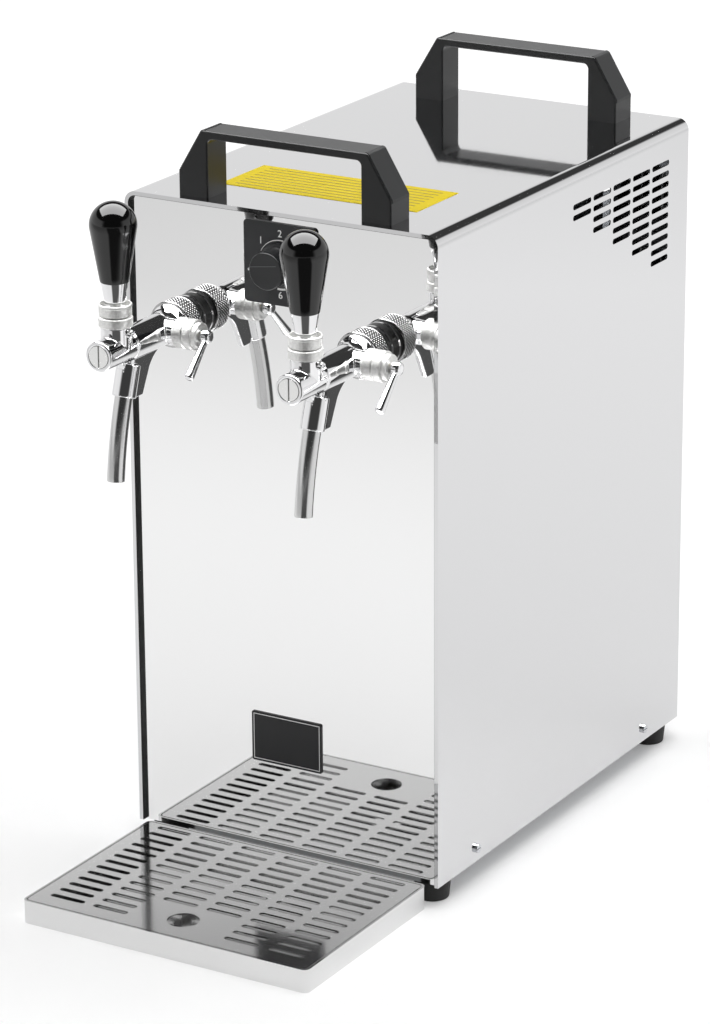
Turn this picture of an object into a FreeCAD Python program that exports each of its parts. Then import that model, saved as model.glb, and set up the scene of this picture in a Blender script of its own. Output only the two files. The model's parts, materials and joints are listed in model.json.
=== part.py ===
import FreeCAD, Part
import math
import os
import re

import Sketcher

# Driving sizes: millimetres, degrees or counts. Heights are above the surface that the cooler stands on.
SIZES = {
    # casing, feet and base
    "casing_width": 260,
    "casing_depth": 389,
    "casing_height": 492,
    "casing_sheet": 1,
    "casing_corner": 9,
    "hem_width": 3,
    "hem_depth": 4,
    "panel_sheet": 1.2,
    "pan_sheet": 1.5,
    "pan_flange": 24,
    "fit_gap": 0.2,
    "thread_gap": 0.1,
    "run_gap": 0.3,
    "shaft_gap": 0.05,
    "foot_height": 16.5,
    "foot_inset_x": 16,
    "foot_inset_y": 20,
    "foot_radius": 14,
    "foot_taper": 1.5,
    "foot_edge": 1.5,
    "foot_stem_radius": 4,
    "foot_barb_radius": 6,
    "foot_barb_height": 4,
    # side vents
    "vent_length": 28.4,
    "vent_height": 4.2,
    "vent_rows": 10,
    "vent_row_step": 2,
    "vent_pitch_z": 8.25,
    "vent_pitch_y": 31.9,
    "vent_inset": 32.6,
    "vent_drop": 26.5,
    # pan head screws of the casing
    "screw_radius": 2,
    "screw_head_radius": 3.5,
    "screw_head_height": 2.2,
    "screw_length": 9,
    "screw_slot": 1,
    "screw_slot_depth": 1,
    "screw_rise": 10.5,
    "screw_front": 57.7,
    "screw_rear": 60.2,
    "panel_screw_inset": 25,
    # carrying grips
    "grip_half": 88,
    "grip_open_half": 63.5,
    "grip_depth": 26,
    "grip_height": 49.5,
    "grip_knee": 18,
    "grip_slant": 19.2,
    "grip_bar": 6,
    "grip_corner": 4,
    "grip_edge": 1.2,
    "grip_top_radius": 3,
    "front_grip_inset": 8,
    "rear_grip_inset": 15,
    "cap_thickness": 1.6,
    "cap_proud": 0.4,
    "cap_inset": 1.2,
    "cap_step": 2.5,
    "cap_top": 2.5,
    "grip_bolt_radius": 2.5,
    "grip_bolt_head": 4.5,
    "grip_bolt_head_height": 3.5,
    "grip_bolt_seat": 8,
    "grip_bolt_reach": 7,
    "grip_nut_radius": 4.6,
    "grip_nut_height": 4,
    # labels and name plate
    "label_width": 164,
    "label_depth": 60,
    "label_shift": 3,
    "label_front": 49,
    "label_thickness": 0.3,
    "badge_width": 60,
    "badge_height": 39,
    "badge_bottom": 85,
    "badge_thickness": 1,
    "badge_corner": 1.5,
    # thermostat
    "dial_drop": 38.9,
    "dial_size": 60.5,
    "dial_thickness": 1.6,
    "dial_corner": 3,
    "knob_face_radius": 13.7,
    "knob_skirt_radius": 16,
    "knob_skirt": 4,
    "knob_depth": 20,
    "knob_edge": 1,
    "spindle_radius": 3,
    "spindle_square": 4.2,
    "spindle_square_length": 9,
    "bush_radius": 5,
    "thermostat_half": 20,
    "thermostat_depth": 27,
    "thermostat_height": 30,
    # drip tray
    "tray_width": 242,
    "tray_depth": 169,
    "tray_height": 17.75,
    "tray_wall": 1.6,
    "tray_corner": 5,
    "tray_ledge": 3,
    "tray_gap": 0.4,
    "grate_sheet": 1.2,
    "grate_gap": 0.9,
    "grate_flange": 7,
    "slot_length": 29.2,
    "slot_height": 5,
    "slot_columns": 6,
    "slot_rows": 13,
    "slot_pitch_x": 37.2,
    "slot_pitch_y": 11.8,
    "slot_first": 8.7,
    "finger_hole_radius": 12,
    "finger_hole_rows": 3,
    "finger_hole_y": 140.1,
    # taps: distances forward of the front panel, heights above the tap's axis
    "tap_inset": 52,
    "tap_drop": 87.9,
    "shank_radius": 8,
    "shank_bore": 3.5,
    "shank_inside": 35,
    "shank_socket": 8,
    "shank_thread_radius": 12,
    "shank_thread": 8,
    "nut_radius": 14,
    "nut_height": 8,
    "gasket_depth": 4,
    "gasket_radius": 16,
    "flange_radius": 16.3,
    "flange_depth": 2,
    "seal_radius": 15.2,
    "seal_depth": 5,
    "collar_radius": 17.3,
    "collar_length": 16,
    "collar_edge": 0.8,
    "collar_lip": 4.6,
    "collar_hole_radius": 1.6,
    "collar_hole_depth": 3,
    "collar_hole_angle": 42,
    "tail_flange": 2.8,
    "tail_radius": 9.3,
    "bell_radius": 15.8,
    "bell_length": 14.5,
    "bell_curve": 17,
    "barrel_radius": 12,
    "boss_radius": 11,
    "boss_length": 33.6,
    "boss_edge": 1,
    "lever_out": 96,
    "lever_front": 22.6,
    "cylinder_radius": 8,
    "seat_radius": 5.1,
    "seat_out": 61,
    "seat_length": 7,
    "chamber_length": 13,
    "passage_radius": 4,
    "plug_length": 10,
    "plug_slot": 1.3,
    "plug_slot_depth": 1.2,
    "column_radius": 11,
    "column_height": 17.6,
    "cavity_radius": 9,
    "pivot_height": 26.4,
    "lever_collar_radius": 12.3,
    "lever_collar_height": 7.3,
    "lock_ring_radius": 11.8,
    "lock_ring_height": 8.9,
    "lock_ring_rim": 1,
    "lock_ring_recess": 4.4,
    "ring_groove": 0.8,
    "ball_radius": 6,
    "ball_seat_gap": 0.35,
    "ball_seat_inset": 1.1,
    "ball_seat_drop": 3.9,
    "finger_radius": 3,
    "finger_neck": 2,
    "neck_radius": 4,
    "ferrule_bottom": 7.8,
    "ferrule_radius": 7.6,
    "ferrule_top_radius": 10,
    "ferrule_height": 15.5,
    "stud_length": 22,
    "knob_bottom_radius": 10.5,
    "knob_radius": 17,
    "knob_height": 57.8,
    "piston_front": 7,
    "piston_head": 14,
    "piston_stem": 3,
    "piston_land": 6,
    "piston_bleed": 1.2,
    "piston_slot_flare": 1.8,
    "socket_radius": 8.75,
    "socket_bore": 4,
    "socket_length": 24,
    "spout_out": 88.3,
    "spout_drop": 37.5,
    "spout_lean": 18,
    "spout_end_lean": 6,
    "spout_length": 59,
    "spout_radius": 6.5,
    "spout_wall": 1.2,
    "spout_insert": 10,
    "fin_thickness": 5,
    "fin_curve": 24,
    "fin_front": 4,
    "fin_front_rise": 9,
    "fin_foot": 11,
    "fin_foot_length": 10,
    "fin_foot_drop": 3.5,
    "fin_heel": 30.3,
    "fin_heel_rise": 14.5,
    "fin_root": 5.8,
    "fin_root_sink": 0.5,
    "comp_out": 42,
    "comp_rise": 1,
    "comp_neck_radius": 9,
    "comp_neck": 17.6,
    "comp_bore": 5,
    "bonnet_radius": 11.3,
    "bonnet_length": 15.4,
    "bonnet_cap_radius": 9.5,
    "bonnet_cap": 4,
    "bonnet_groove": 0.9,
    "bonnet_spigot": 5.6,
    "cone_stem_radius": 3,
    "cone_head_radius": 3.6,
    "cone_head_gap": 3.6,
    "cone_tip": 1,
    "cone_grip": 2,
    "hub_radius": 5.2,
    "hub_length": 7.6,
    "hub_bore": 4.6,
    "hub_edge": 2,
    "rod_reach": 35,
    "rod_neck_radius": 2.2,
    "rod_end_radius": 3.1,
    "rod_edge": 1,
    "rod_rest_angle": 45,
    # cold block, its box and lines
    "box_front": 28,
    "box_side": 14,
    "box_wall": 32,
    "box_end_wall": 45,
    "block_gap": 0.3,
    "line_rise": 100,
    "line_radius": 4,
    "line_wall": 1,
    "line_bend": 30,
    "line_setback": 90,
    "line_socket": 12,
    # rear bay
    "rear_bay": 118,
    "shroud_side": 12,
    "shroud_sheet": 1.2,
    "shroud_flange": 12,
    "shroud_top_gap": 33,
    "shroud_height": 180,
    "shroud_foot": 10,
    "condenser_depth": 36,
    "condenser_side": 18,
    "condenser_edge": 5,
    "condenser_box_gap": 30,
    "condenser_fins": 21,
    "condenser_fin": 0.8,
    "condenser_rows": 6,
    "condenser_tube": 4,
    "fan_radius": 70,
    "fan_opening": 75,
    "fan_hub": 15,
    "fan_hub_depth": 12,
    "fan_gap": 4,
    "fan_blades": 5,
    "fan_chord": 26,
    "fan_pitch": 10,
    "fan_blade": 1.5,
    "motor_radius": 26,
    "motor_depth": 34,
    "motor_arm": 8,
    "fan_shaft": 3,
    "fan_shaft_depth": 12,
    "compressor_radius": 52,
    "compressor_height": 140,
    "compressor_rim": 3,
    "compressor_dome": 26,
    "compressor_rear": 85,
    "compressor_lift": 9,
    "compressor_plate": 3,
    "compressor_plate_half": 45,
    "grommet_radius": 8,
    "pipe_radius": 3,
    "pipe_bend": 14,
    "pipe_shift": 22,
    "pipe_rise": 25,
    "drier_radius": 9,
    "drier_length": 50,
    "drier_inset": 56,
    "pump_width": 44,
    "pump_depth": 90,
    "pump_height": 80,
    "pump_lift": 5,
    "pump_edge": 6,
    "pump_nozzle": 10,
    "hose_radius": 4,
    "hose_bore": 2.4,
    "hose_bend": 24,
    # rear fittings
    "rear_reach": 18,
    "inlet_pitch": 30,
    "inlet_radius": 9,
    "inlet_flange_radius": 11,
    "inlet_flange": 3,
    "inlet_thread_radius": 7.5,
    "inlet_nut_radius": 12,
    "inlet_nut_height": 5,
    "inlet_inside": 14,
    "inlet_bore": 4.8,
    "inlet_socket": 6.6,
    "inlet_socket_depth": 9,
    "collet_stroke": 1.5,
    "collet_flange": 2,
    "collet_flange_radius": 8,
    "collet_radius": 6.5,
    "outlet_radius": 4.5,
    "gland_inset": 35,
    "gland_z": 62,
    "gland_radius": 9,
    "gland_cap": 13,
    "gland_bore": 3.4,
    "gland_hex_radius": 12,
    "gland_hex": 5,
    "gland_inside": 10,
    "gland_edge": 3,
    "switch_inset": 38,
    "switch_z": 66,
    "switch_width": 20,
    "switch_height": 28,
    "switch_bezel": 3,
    "switch_bezel_depth": 2,
    "switch_depth": 20,
    "switch_wall": 1.5,
    "rocker_crown": 54,
    "rocker_proud": 3,
    "rocker_tilt": 6,
    "rocker_pin": 1.5,
    "exhaust_slot": 60,
    "exhaust_slot_height": 5,
    "exhaust_rows": 12,
    "exhaust_pitch": 11,
    "exhaust_column": 76,
}

# Places and sizes that follow from the driving ones.
PLACES = {
    "front_y": "(tray_depth + tray_gap - casing_depth - rear_reach) / 2",
    "back_y": "front_y + casing_depth",
    "side_x": "casing_width / 2",
    "top_z": "foot_height + casing_height",
    "roof_z": "top_z - casing_sheet",
    "panel_y": "front_y + hem_depth",
    "panel_back": "panel_y + panel_sheet",
    "rear_face": "back_y - hem_depth",
    "rear_panel_y": "rear_face - panel_sheet",
    "panel_half": "side_x - casing_sheet - fit_gap",
    "panel_top": "roof_z - fit_gap",
    "panel_corner": "casing_corner - casing_sheet",
    "floor_z": "foot_height + pan_sheet",
    "pan_front": "panel_back + fit_gap",
    "pan_rear": "rear_panel_y - fit_gap",
    "pan_inner": "panel_half - pan_sheet",
    "screw_z": "foot_height + screw_rise",
    "grip_rise": "grip_height - grip_knee",
    "grip_run": "sqrt(grip_rise ^ 2 + grip_slant ^ 2)",
    "slant_x": "grip_rise / grip_run",
    "slant_z": "grip_slant / grip_run",
    "grip_bolt_x": "(grip_half + grip_open_half) / 2",
    "dial_z": "top_z - dial_drop",
    "dial_face": "panel_y - dial_thickness",
    "knob_back": "dial_face - run_gap",
    "knob_front": "knob_back - knob_depth",
    "tray_back": "front_y - tray_gap",
    "tray_front": "tray_back - tray_depth",
    "tray_half": "tray_width / 2",
    "ledge_z": "tray_height - grate_sheet",
    "tap_z": "top_z - tap_drop",
    "flange_out": "gasket_depth",
    "seal_out": "flange_out + flange_depth",
    "collar_out": "seal_out + seal_depth",
    "collar_end": "collar_out + collar_length",
    "thread_out": "collar_out + shank_thread",
    "tail_out": "thread_out + fit_gap",
    "tail_end": "tail_out + tail_flange",
    "bell_out": "collar_end + run_gap",
    "barrel_out": "bell_out + bell_length",
    "tap_end": "lever_out + lever_front",
    "boss_out": "tap_end - boss_length",
    "cavity_z": "column_height + lever_collar_height",
    "lock_top": "cavity_z + lock_ring_height",
    "knob_centre": "ferrule_bottom + ferrule_height + knob_height - knob_radius",
    "land_out": "seat_out + (seat_length - piston_land) / 2",
    "piston_tip": "lever_out + piston_front",
    "piston_heel": "piston_tip - piston_head",
    "spout_curve": "spout_length / (sin(spout_lean) - sin(spout_end_lean))",
    "bonnet_x": "comp_neck",
    "bonnet_end": "bonnet_x + bonnet_length",
    "bonnet_cap_end": "bonnet_end + bonnet_cap",
    "hub_x": "bonnet_cap_end + run_gap",
    "hub_end": "hub_x + hub_length",
    "shroud_y": "back_y - rear_bay",
    "shroud_half": "side_x - shroud_side",
    "shroud_top": "top_z - shroud_top_gap",
    "shroud_bottom": "shroud_top - shroud_height",
    "fan_z": "shroud_top - shroud_height / 2",
    "fan_y": "shroud_y + shroud_sheet + fan_gap",
    "motor_y": "fan_y + fan_hub_depth + fan_gap",
    "condenser_half": "shroud_half - condenser_side",
    "condenser_y": "shroud_y - condenser_depth",
    "condenser_top": "shroud_top - condenser_edge",
    "condenser_bottom": "shroud_bottom + condenser_edge",
    "box_half": "side_x - box_side",
    "box_y": "front_y + box_front",
    "box_back": "condenser_y - condenser_box_gap",
    "box_top": "tap_z - line_rise",
    "block_half": "box_half - box_wall",
    "block_y": "box_y + box_end_wall",
    "block_back": "box_back - box_end_wall",
    "block_z": "floor_z + box_end_wall",
    "block_top": "box_top - box_end_wall",
    "line_y": "panel_y + line_setback",
    "bay_gap": "(2 * pan_inner - 2 * compressor_radius - pump_width) / 3",
    "compressor_x": "bay_gap + compressor_radius - pan_inner",
    "compressor_y": "back_y - compressor_rear",
    "compressor_z": "floor_z + compressor_lift + compressor_plate",
    "compressor_top": "compressor_z + compressor_height",
    "pump_x": "pan_inner - bay_gap - pump_width / 2",
    "drier_x": "side_x - drier_inset",
    "gland_x": "side_x - gland_inset",
    "switch_x": "side_x - switch_inset",
    "pump_y": "compressor_y",
    "pump_z": "floor_z + pump_lift",
    "pump_top": "pump_z + pump_height",
    "inlet_z": "(compressor_top + shroud_bottom) / 2",
    "fitting_end": "back_y + rear_reach - collet_flange - collet_stroke",
    "fitting_in": "rear_panel_y - inlet_inside",
    "suction_z": "compressor_top + pipe_rise",
}

os.makedirs("parts", exist_ok=True)
doc = FreeCAD.newDocument("cooler")
nodes = []


def ex(formula):
    """Point each name in a formula at the sheet or at the places."""
    def home(found):
        word = found.group(0)
        if word in SIZES:
            return "Sizes." + word
        if word in PLACES:
            return "Places." + word
        return word
    return re.sub(r"[a-z_][a-z_0-9]*", home, str(formula))


def fill_sheet():
    """Write each driving size into a cell of its own, with its name as the alias."""
    sheet = doc.addObject("Spreadsheet::Sheet", "Sizes")
    for row, (name, number) in enumerate(SIZES.items(), start=1):
        sheet.set("A%d" % row, name)
        sheet.set("B%d" % row, str(number))
        sheet.setAlias("B%d" % row, name)
    doc.recompute()


def fill_places():
    """Work each place out from the sheet."""
    places = doc.addObject("App::VarSet", "Places")
    for name, formula in PLACES.items():
        places.addProperty("App::PropertyFloat", name)
        places.setExpression(name, ex(formula))
    doc.recompute()
    return places


fill_sheet()
places = fill_places()


def number(formula):
    """The present value of a formula."""
    return float(places.evalExpression(ex(formula)))


def keep(name, obj):
    """Take an object as a finished piece under its own name."""
    obj.Label = name
    nodes.append(obj)
    return obj


def put(obj, x=0, y=0, z=0, turn=None):
    """Place an object; turn is an axis and a formula for the angle about it."""
    if turn:
        obj.Placement.Rotation = FreeCAD.Rotation(turn[0], 1)
        obj.setExpression("Placement.Rotation.Angle", ex(turn[1]))
    for axis, formula in zip("xyz", (x, y, z)):
        obj.setExpression("Placement.Base." + axis, ex(formula))
    return obj


AXES = {"X": FreeCAD.Vector(1, 0, 0), "Y": FreeCAD.Vector(0, 1, 0), "Z": FreeCAD.Vector(0, 0, 1)}


def box(x, y, z):
    """A block between two planes on each axis."""
    obj = doc.addObject("Part::Box", "Block")
    for prop, (low, high) in zip(("Length", "Width", "Height"), (x, y, z)):
        obj.setExpression(prop, ex("(%s) - (%s)" % (high, low)))
    return put(obj, x[0], y[0], z[0])


def along(obj, axis, low, a, b):
    """Stand a round piece on its low plane, with its length along one axis."""
    if axis == "X":
        obj.Placement.Rotation = FreeCAD.Rotation(AXES["Y"], 90)
        return put(obj, low, a, b)
    if axis == "Y":
        obj.Placement.Rotation = FreeCAD.Rotation(AXES["X"], -90)
        return put(obj, a, low, b)
    return put(obj, a, b, low)


def rod(axis, radius, low, high, a=0, b=0):
    """A cylinder along an axis; a and b are its centre on the other two axes, in their order."""
    obj = doc.addObject("Part::Cylinder", "Rod")
    obj.setExpression("Radius", ex(radius))
    obj.setExpression("Height", ex("(%s) - (%s)" % (high, low)))
    return along(obj, axis, low, a, b)


def nut(axis, radius, low, high, a=0, b=0):
    """A six sided prism along an axis."""
    obj = doc.addObject("Part::Prism", "Nut")
    obj.Polygon = 6
    obj.setExpression("Circumradius", ex(radius))
    obj.setExpression("Height", ex("(%s) - (%s)" % (high, low)))
    return along(obj, axis, low, a, b)


def fuse(*shapes):
    """One solid from several that meet."""
    obj = doc.addObject("Part::MultiFuse", "Joined")
    obj.Shapes = list(shapes)
    return obj


def cut(base, *tools):
    """A shape with the tools' space taken away."""
    obj = doc.addObject("Part::Cut", "Trimmed")
    obj.Base = base
    obj.Tool = tools[0] if len(tools) == 1 else fuse(*tools)
    return obj


def group(*shapes):
    """Separate solids that share one node."""
    obj = doc.addObject("Part::Compound", "Group")
    obj.Links = list(shapes)
    return obj


def new_body(x=0, y=0, z=0, turn=None):
    """A body whose own origin lies at a place."""
    return put(doc.addObject("PartDesign::Body", "Body"), x, y, z, turn)


def origin(body, role):
    """One of the body's own origin planes or axes."""
    return [item for item in body.Origin.OriginFeatures if item.Role == role][0]


def new_sketch(body, plane, level=0, shift=(0, 0)):
    """A sketch on an origin plane, moved along the plane's axis and within the plane."""
    sketch = body.newObject("Sketcher::SketchObject", "Sketch")
    sketch.AttachmentSupport = [(origin(body, plane + "_Plane"), "")]
    sketch.MapMode = "FlatFace"
    sign = "-" if plane == "XZ" else ""
    sketch.setExpression("AttachmentOffset.Base.z", ex("%s(%s)" % (sign, level)))
    sketch.setExpression("AttachmentOffset.Base.x", ex(shift[0]))
    sketch.setExpression("AttachmentOffset.Base.y", ex(shift[1]))
    return sketch


def pin(sketch, kind, spots, formula):
    """Add a constraint whose value follows a formula."""
    index = sketch.addConstraint(Sketcher.Constraint(kind, *spots, number(formula)))
    sketch.setExpression("Constraints[%d]" % index, ex(formula))


def pin_point(sketch, index, end, x, y):
    """Fix one point of a sketch line or arc from the sketch's origin."""
    pin(sketch, "DistanceX", (-1, 1, index, end), x)
    pin(sketch, "DistanceY", (-1, 1, index, end), y)


def arc_between(start, end, radius):
    """The short arc between two points; it turns anticlockwise if its radius is positive."""
    middle = (start + end) / 2
    chord = end - start
    left = FreeCAD.Vector(-chord.y, chord.x, 0).normalize()
    rise = math.sqrt(max(radius ** 2 - (chord.Length / 2) ** 2, 0))
    centre = middle + left * math.copysign(rise, radius)
    first, last = (start, end) if radius > 0 else (end, start)
    circle_ = Part.Circle(centre, AXES["Z"], abs(radius))
    angles = [math.atan2(spot.y - centre.y, spot.x - centre.x) for spot in (first, last)]
    return Part.ArcOfCircle(circle_, angles[0], angles[1])


def outline(sketch, corners):
    """Draw a closed outline. A corner is x, y and, where an arc arrives at it, that arc's radius."""
    spots = [FreeCAD.Vector(number(c[0]), number(c[1]), 0) for c in corners]
    ends = []
    for i, corner in enumerate(corners):
        after = (i + 1) % len(corners)
        arrival = corners[after]
        if len(arrival) == 3:
            radius = number(arrival[2])
            index = sketch.addGeometry(arc_between(spots[i], spots[after], radius), False)
            pin(sketch, "Radius", (index,), "abs(%s)" % arrival[2])
            ends.append((index, 1, 2) if radius > 0 else (index, 2, 1))
        else:
            index = sketch.addGeometry(Part.LineSegment(spots[i], spots[after]), False)
            ends.append((index, 1, 2))
        pin_point(sketch, index, ends[-1][1], corner[0], corner[1])
    for i, (index, _, end) in enumerate(ends):
        following, start, _ = ends[(i + 1) % len(ends)]
        sketch.addConstraint(Sketcher.Constraint("Coincident", index, end, following, start))


def circle(sketch, x, y, radius):
    """Draw a circle."""
    centre = FreeCAD.Vector(number(x), number(y), 0)
    index = sketch.addGeometry(Part.Circle(centre, AXES["Z"], number(radius)), False)
    pin_point(sketch, index, 3, x, y)
    pin(sketch, "Radius", (index,), radius)


def rectangle(sketch, x, y):
    """Draw a rectangle between two values on each axis."""
    outline(sketch, [(x[0], y[0]), (x[1], y[0]), (x[1], y[1]), (x[0], y[1])])


def rounded(sketch, x, y, radius):
    """Draw a rectangle with round corners."""
    inner_x = ["%s + %s" % (x[0], radius), "%s - %s" % (x[1], radius)]
    inner_y = ["%s + %s" % (y[0], radius), "%s - %s" % (y[1], radius)]
    outline(sketch, [
        (inner_x[0], y[0], radius), (inner_x[1], y[0]),
        (x[1], inner_y[0], radius), (x[1], inner_y[1]),
        (inner_x[1], y[1], radius), (inner_x[0], y[1]),
        (x[0], inner_y[1], radius), (x[0], inner_y[0]),
    ])


def slot(sketch, x, y, length, height):
    """Draw a slot with round ends, along the sketch's own x axis."""
    radius = "%s / 2" % height
    half = "(%s - %s) / 2" % (length, height)
    r, run, cx, cy = number(radius), number(half), number(x), number(y)
    ends = []
    for side in (1, -1):
        round_end = Part.Circle(FreeCAD.Vector(cx + side * run, cy, 0), AXES["Z"], r)
        low = -math.pi / 2 if side > 0 else math.pi / 2
        index = sketch.addGeometry(Part.ArcOfCircle(round_end, low, low + math.pi), False)
        pin_point(sketch, index, 3, "%s + (%d) * %s" % (x, side, half), y)
        ends.append(index)
    pin(sketch, "Radius", (ends[0],), radius)
    sketch.addConstraint(Sketcher.Constraint("Equal", ends[0], ends[1]))
    for level, first, last in ((r, ends[0], ends[1]), (-r, ends[1], ends[0])):
        way = math.copysign(1, level)
        start = FreeCAD.Vector(cx + way * run, cy + level, 0)
        stop = FreeCAD.Vector(cx - way * run, cy + level, 0)
        line = sketch.addGeometry(Part.LineSegment(start, stop), False)
        sketch.addConstraint(Sketcher.Constraint("Tangent", first, 2, line, 1))
        sketch.addConstraint(Sketcher.Constraint("Tangent", line, 2, last, 1))


def pad(body, plane, low, high, *drawings, shift=(0, 0)):
    """Add material between two levels; each drawing is a sketch function and its sizes."""
    sketch = new_sketch(body, plane, high if plane == "XZ" else low, shift)
    for draw, *sizes in drawings:
        draw(sketch, *sizes)
    feature = body.newObject("PartDesign::Pad", "Pad")
    feature.Profile = sketch
    feature.setExpression("Length", ex("(%s) - (%s)" % (high, low)))
    return feature


def pocket(body, plane, low, high, *drawings, shift=(0, 0)):
    """Take material away between two levels."""
    sketch = new_sketch(body, plane, low if plane == "XZ" else high, shift)
    for draw, *sizes in drawings:
        draw(sketch, *sizes)
    feature = body.newObject("PartDesign::Pocket", "Pocket")
    feature.Profile = sketch
    feature.setExpression("Length", ex("(%s) - (%s)" % (high, low)))
    return feature


def turned(body, axis, corners, kind="Revolution", centre=(0, 0)):
    """Turn an outline of radius, distance and any arc about a line that is parallel to an axis."""
    if axis == "X":
        sketch = new_sketch(body, "XY", centre[1], (0, centre[0]))
        corners = [(c[1], c[0]) + tuple("-(%s)" % radius for radius in c[2:]) for c in corners]
    elif axis == "Y":
        sketch = new_sketch(body, "XY", centre[1], (centre[0], 0))
    else:
        sketch = new_sketch(body, "XZ", centre[1], (centre[0], 0))
    outline(sketch, corners)
    feature = body.newObject("PartDesign::" + kind, kind)
    feature.Profile = sketch
    feature.ReferenceAxis = (sketch, ["H_Axis" if axis == "X" else "V_Axis"])
    feature.Angle = 360
    return feature


def bored(body, axis, corners, centre=(0, 0)):
    """Cut a turned outline out of a body."""
    return turned(body, axis, corners, "Groove", centre)


def row(body, feature, axis, count, pitch, backwards=False):
    """Repeat a feature in a row."""
    pattern = body.newObject("PartDesign::LinearPattern", "Row")
    pattern.Originals = [feature]
    pattern.Direction = (origin(body, axis + "_Axis"), [""])
    pattern.Reversed = backwards
    pattern.setExpression("Length", ex("(%s - 1) * %s" % (count, pitch)))
    pattern.setExpression("Occurrences", ex(count))
    body.Tip = pattern
    return pattern


def rounding(body, radius, wanted):
    """Round the edges that a test picks."""
    doc.recompute()
    base = body.Tip
    names = ["Edge%d" % (i + 1) for i, edge in enumerate(base.Shape.Edges) if wanted(edge)]
    feature = body.newObject("PartDesign::Fillet", "Round")
    feature.Base = (base, names)
    feature.setExpression("Radius", ex(radius))
    return feature


def in_plane(axis, *levels):
    """A test for edges that lie in one of some planes across an axis."""
    spots = [number(level) for level in levels]

    def wanted(edge):
        ends = [getattr(v.Point, axis) for v in edge.Vertexes]
        mid = getattr(edge.valueAt((edge.FirstParameter + edge.LastParameter) / 2), axis)
        return any(max(abs(value - spot) for value in ends + [mid]) < 1e-4 for spot in spots)
    return wanted


def bent_path(points, bend):
    """A wire of straight runs that are joined by tangent arcs of one radius."""
    edges = []
    here = points[0]
    for before, corner, after in zip(points, points[1:], points[2:]):
        into = (corner - before).normalize()
        out = (after - corner).normalize()
        turn = into.getAngle(out)
        reach = bend * math.tan(turn / 2)
        start = corner - into * reach
        end = corner + out * reach
        middle = corner + (out - into).normalize() * bend * (1 / math.cos(turn / 2) - 1)
        edges.append(Part.LineSegment(here, start).toShape())
        edges.append(Part.Arc(start, middle, end).toShape())
        here = end
    edges.append(Part.LineSegment(here, points[-1]).toShape())
    return Part.Wire(edges)


def tube(points, radius, bore, bend):
    """A bent tube along a list of places."""
    spots = [FreeCAD.Vector(*[number(value) for value in point]) for point in points]
    path = bent_path(spots, number(bend)) if len(spots) > 2 else Part.makePolygon(spots)
    heading = spots[1] - spots[0]
    skins = []
    for size in (radius, bore):
        ring = Part.Wire(Part.makeCircle(number(size), spots[0], heading))
        skins.append(path.makePipeShell([ring], True, False))
    obj = doc.addObject("Part::Feature", "Tube")
    obj.Shape = skins[0].cut(skins[1])
    return obj


# Casing: one folded sheet over the top and sides, with hemmed front and rear edges and side vents.

def arch(sketch, outer, bottom, top, radius, thickness):
    """Draw a sheet that goes up one side, over the top and down the other side."""
    inner = "(%s - %s)" % (outer, thickness)
    under = "(%s - %s)" % (top, thickness)
    tight = "(%s - %s)" % (radius, thickness)
    outline(sketch, [
        ("-" + outer, bottom), ("-" + inner, bottom),
        ("-" + inner, "%s - %s" % (under, tight)), ("-%s + %s" % (inner, tight), under, "-" + tight),
        ("%s - %s" % (inner, tight), under), (inner, "%s - %s" % (under, tight), "-" + tight),
        (inner, bottom), (outer, bottom),
        (outer, "%s - %s" % (top, radius)), ("%s - %s" % (outer, radius), top, radius),
        ("-%s + %s" % (outer, radius), top), ("-" + outer, "%s - %s" % (top, radius), radius),
    ])


def make_casing():
    body = new_body()
    arch_sizes = ("side_x", "foot_height", "top_z", "casing_corner")
    pad(body, "XZ", "front_y", "back_y", (arch,) + arch_sizes + ("casing_sheet",))
    pad(body, "XZ", "front_y", "front_y + hem_depth", (arch,) + arch_sizes + ("hem_width",))
    pad(body, "XZ", "back_y - hem_depth", "back_y", (arch,) + arch_sizes + ("hem_width",))
    wide = "side_x + hem_width"
    rows = SIZES["vent_rows"]
    column = 0
    while rows > 0:
        y = "back_y - vent_inset - vent_length / 2 - %d * vent_pitch_y" % column
        vents = pocket(body, "YZ", "-" + wide.replace("+", "-"), wide,
                       (slot, y, "top_z - vent_drop", "vent_length", "vent_height"))
        if rows > 1:
            count = "(vent_rows - %d * vent_row_step)" % column
            row(body, vents, "Z", count, "vent_pitch_z", True)
        rows -= SIZES["vent_row_step"]
        column += 1
    holes = [(circle, y, "screw_z", "screw_radius + fit_gap") for y in SCREW_Y]
    pocket(body, "YZ", "-" + wide.replace("+", "-"), wide, *holes)
    bolts = [(circle, x, y, "grip_bolt_radius + fit_gap") for y in GRIP_Y for x in GRIP_BOLT_X]
    pocket(body, "XY", "top_z - casing_corner", "top_z", *bolts)
    keep("casing", body)


SCREW_Y = ("front_y + screw_front", "back_y - screw_rear")
GRIP_Y = ("front_y + front_grip_inset + grip_depth / 2", "back_y - rear_grip_inset - grip_depth / 2")
GRIP_BOLT_X = ("-grip_bolt_x", "grip_bolt_x")
FOOT_X = ("foot_inset_x - side_x", "side_x - foot_inset_x")
FOOT_Y = ("front_y + foot_inset_y", "back_y - foot_inset_y")


# Base: a folded pan that carries the feet and the cooling set.

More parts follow.
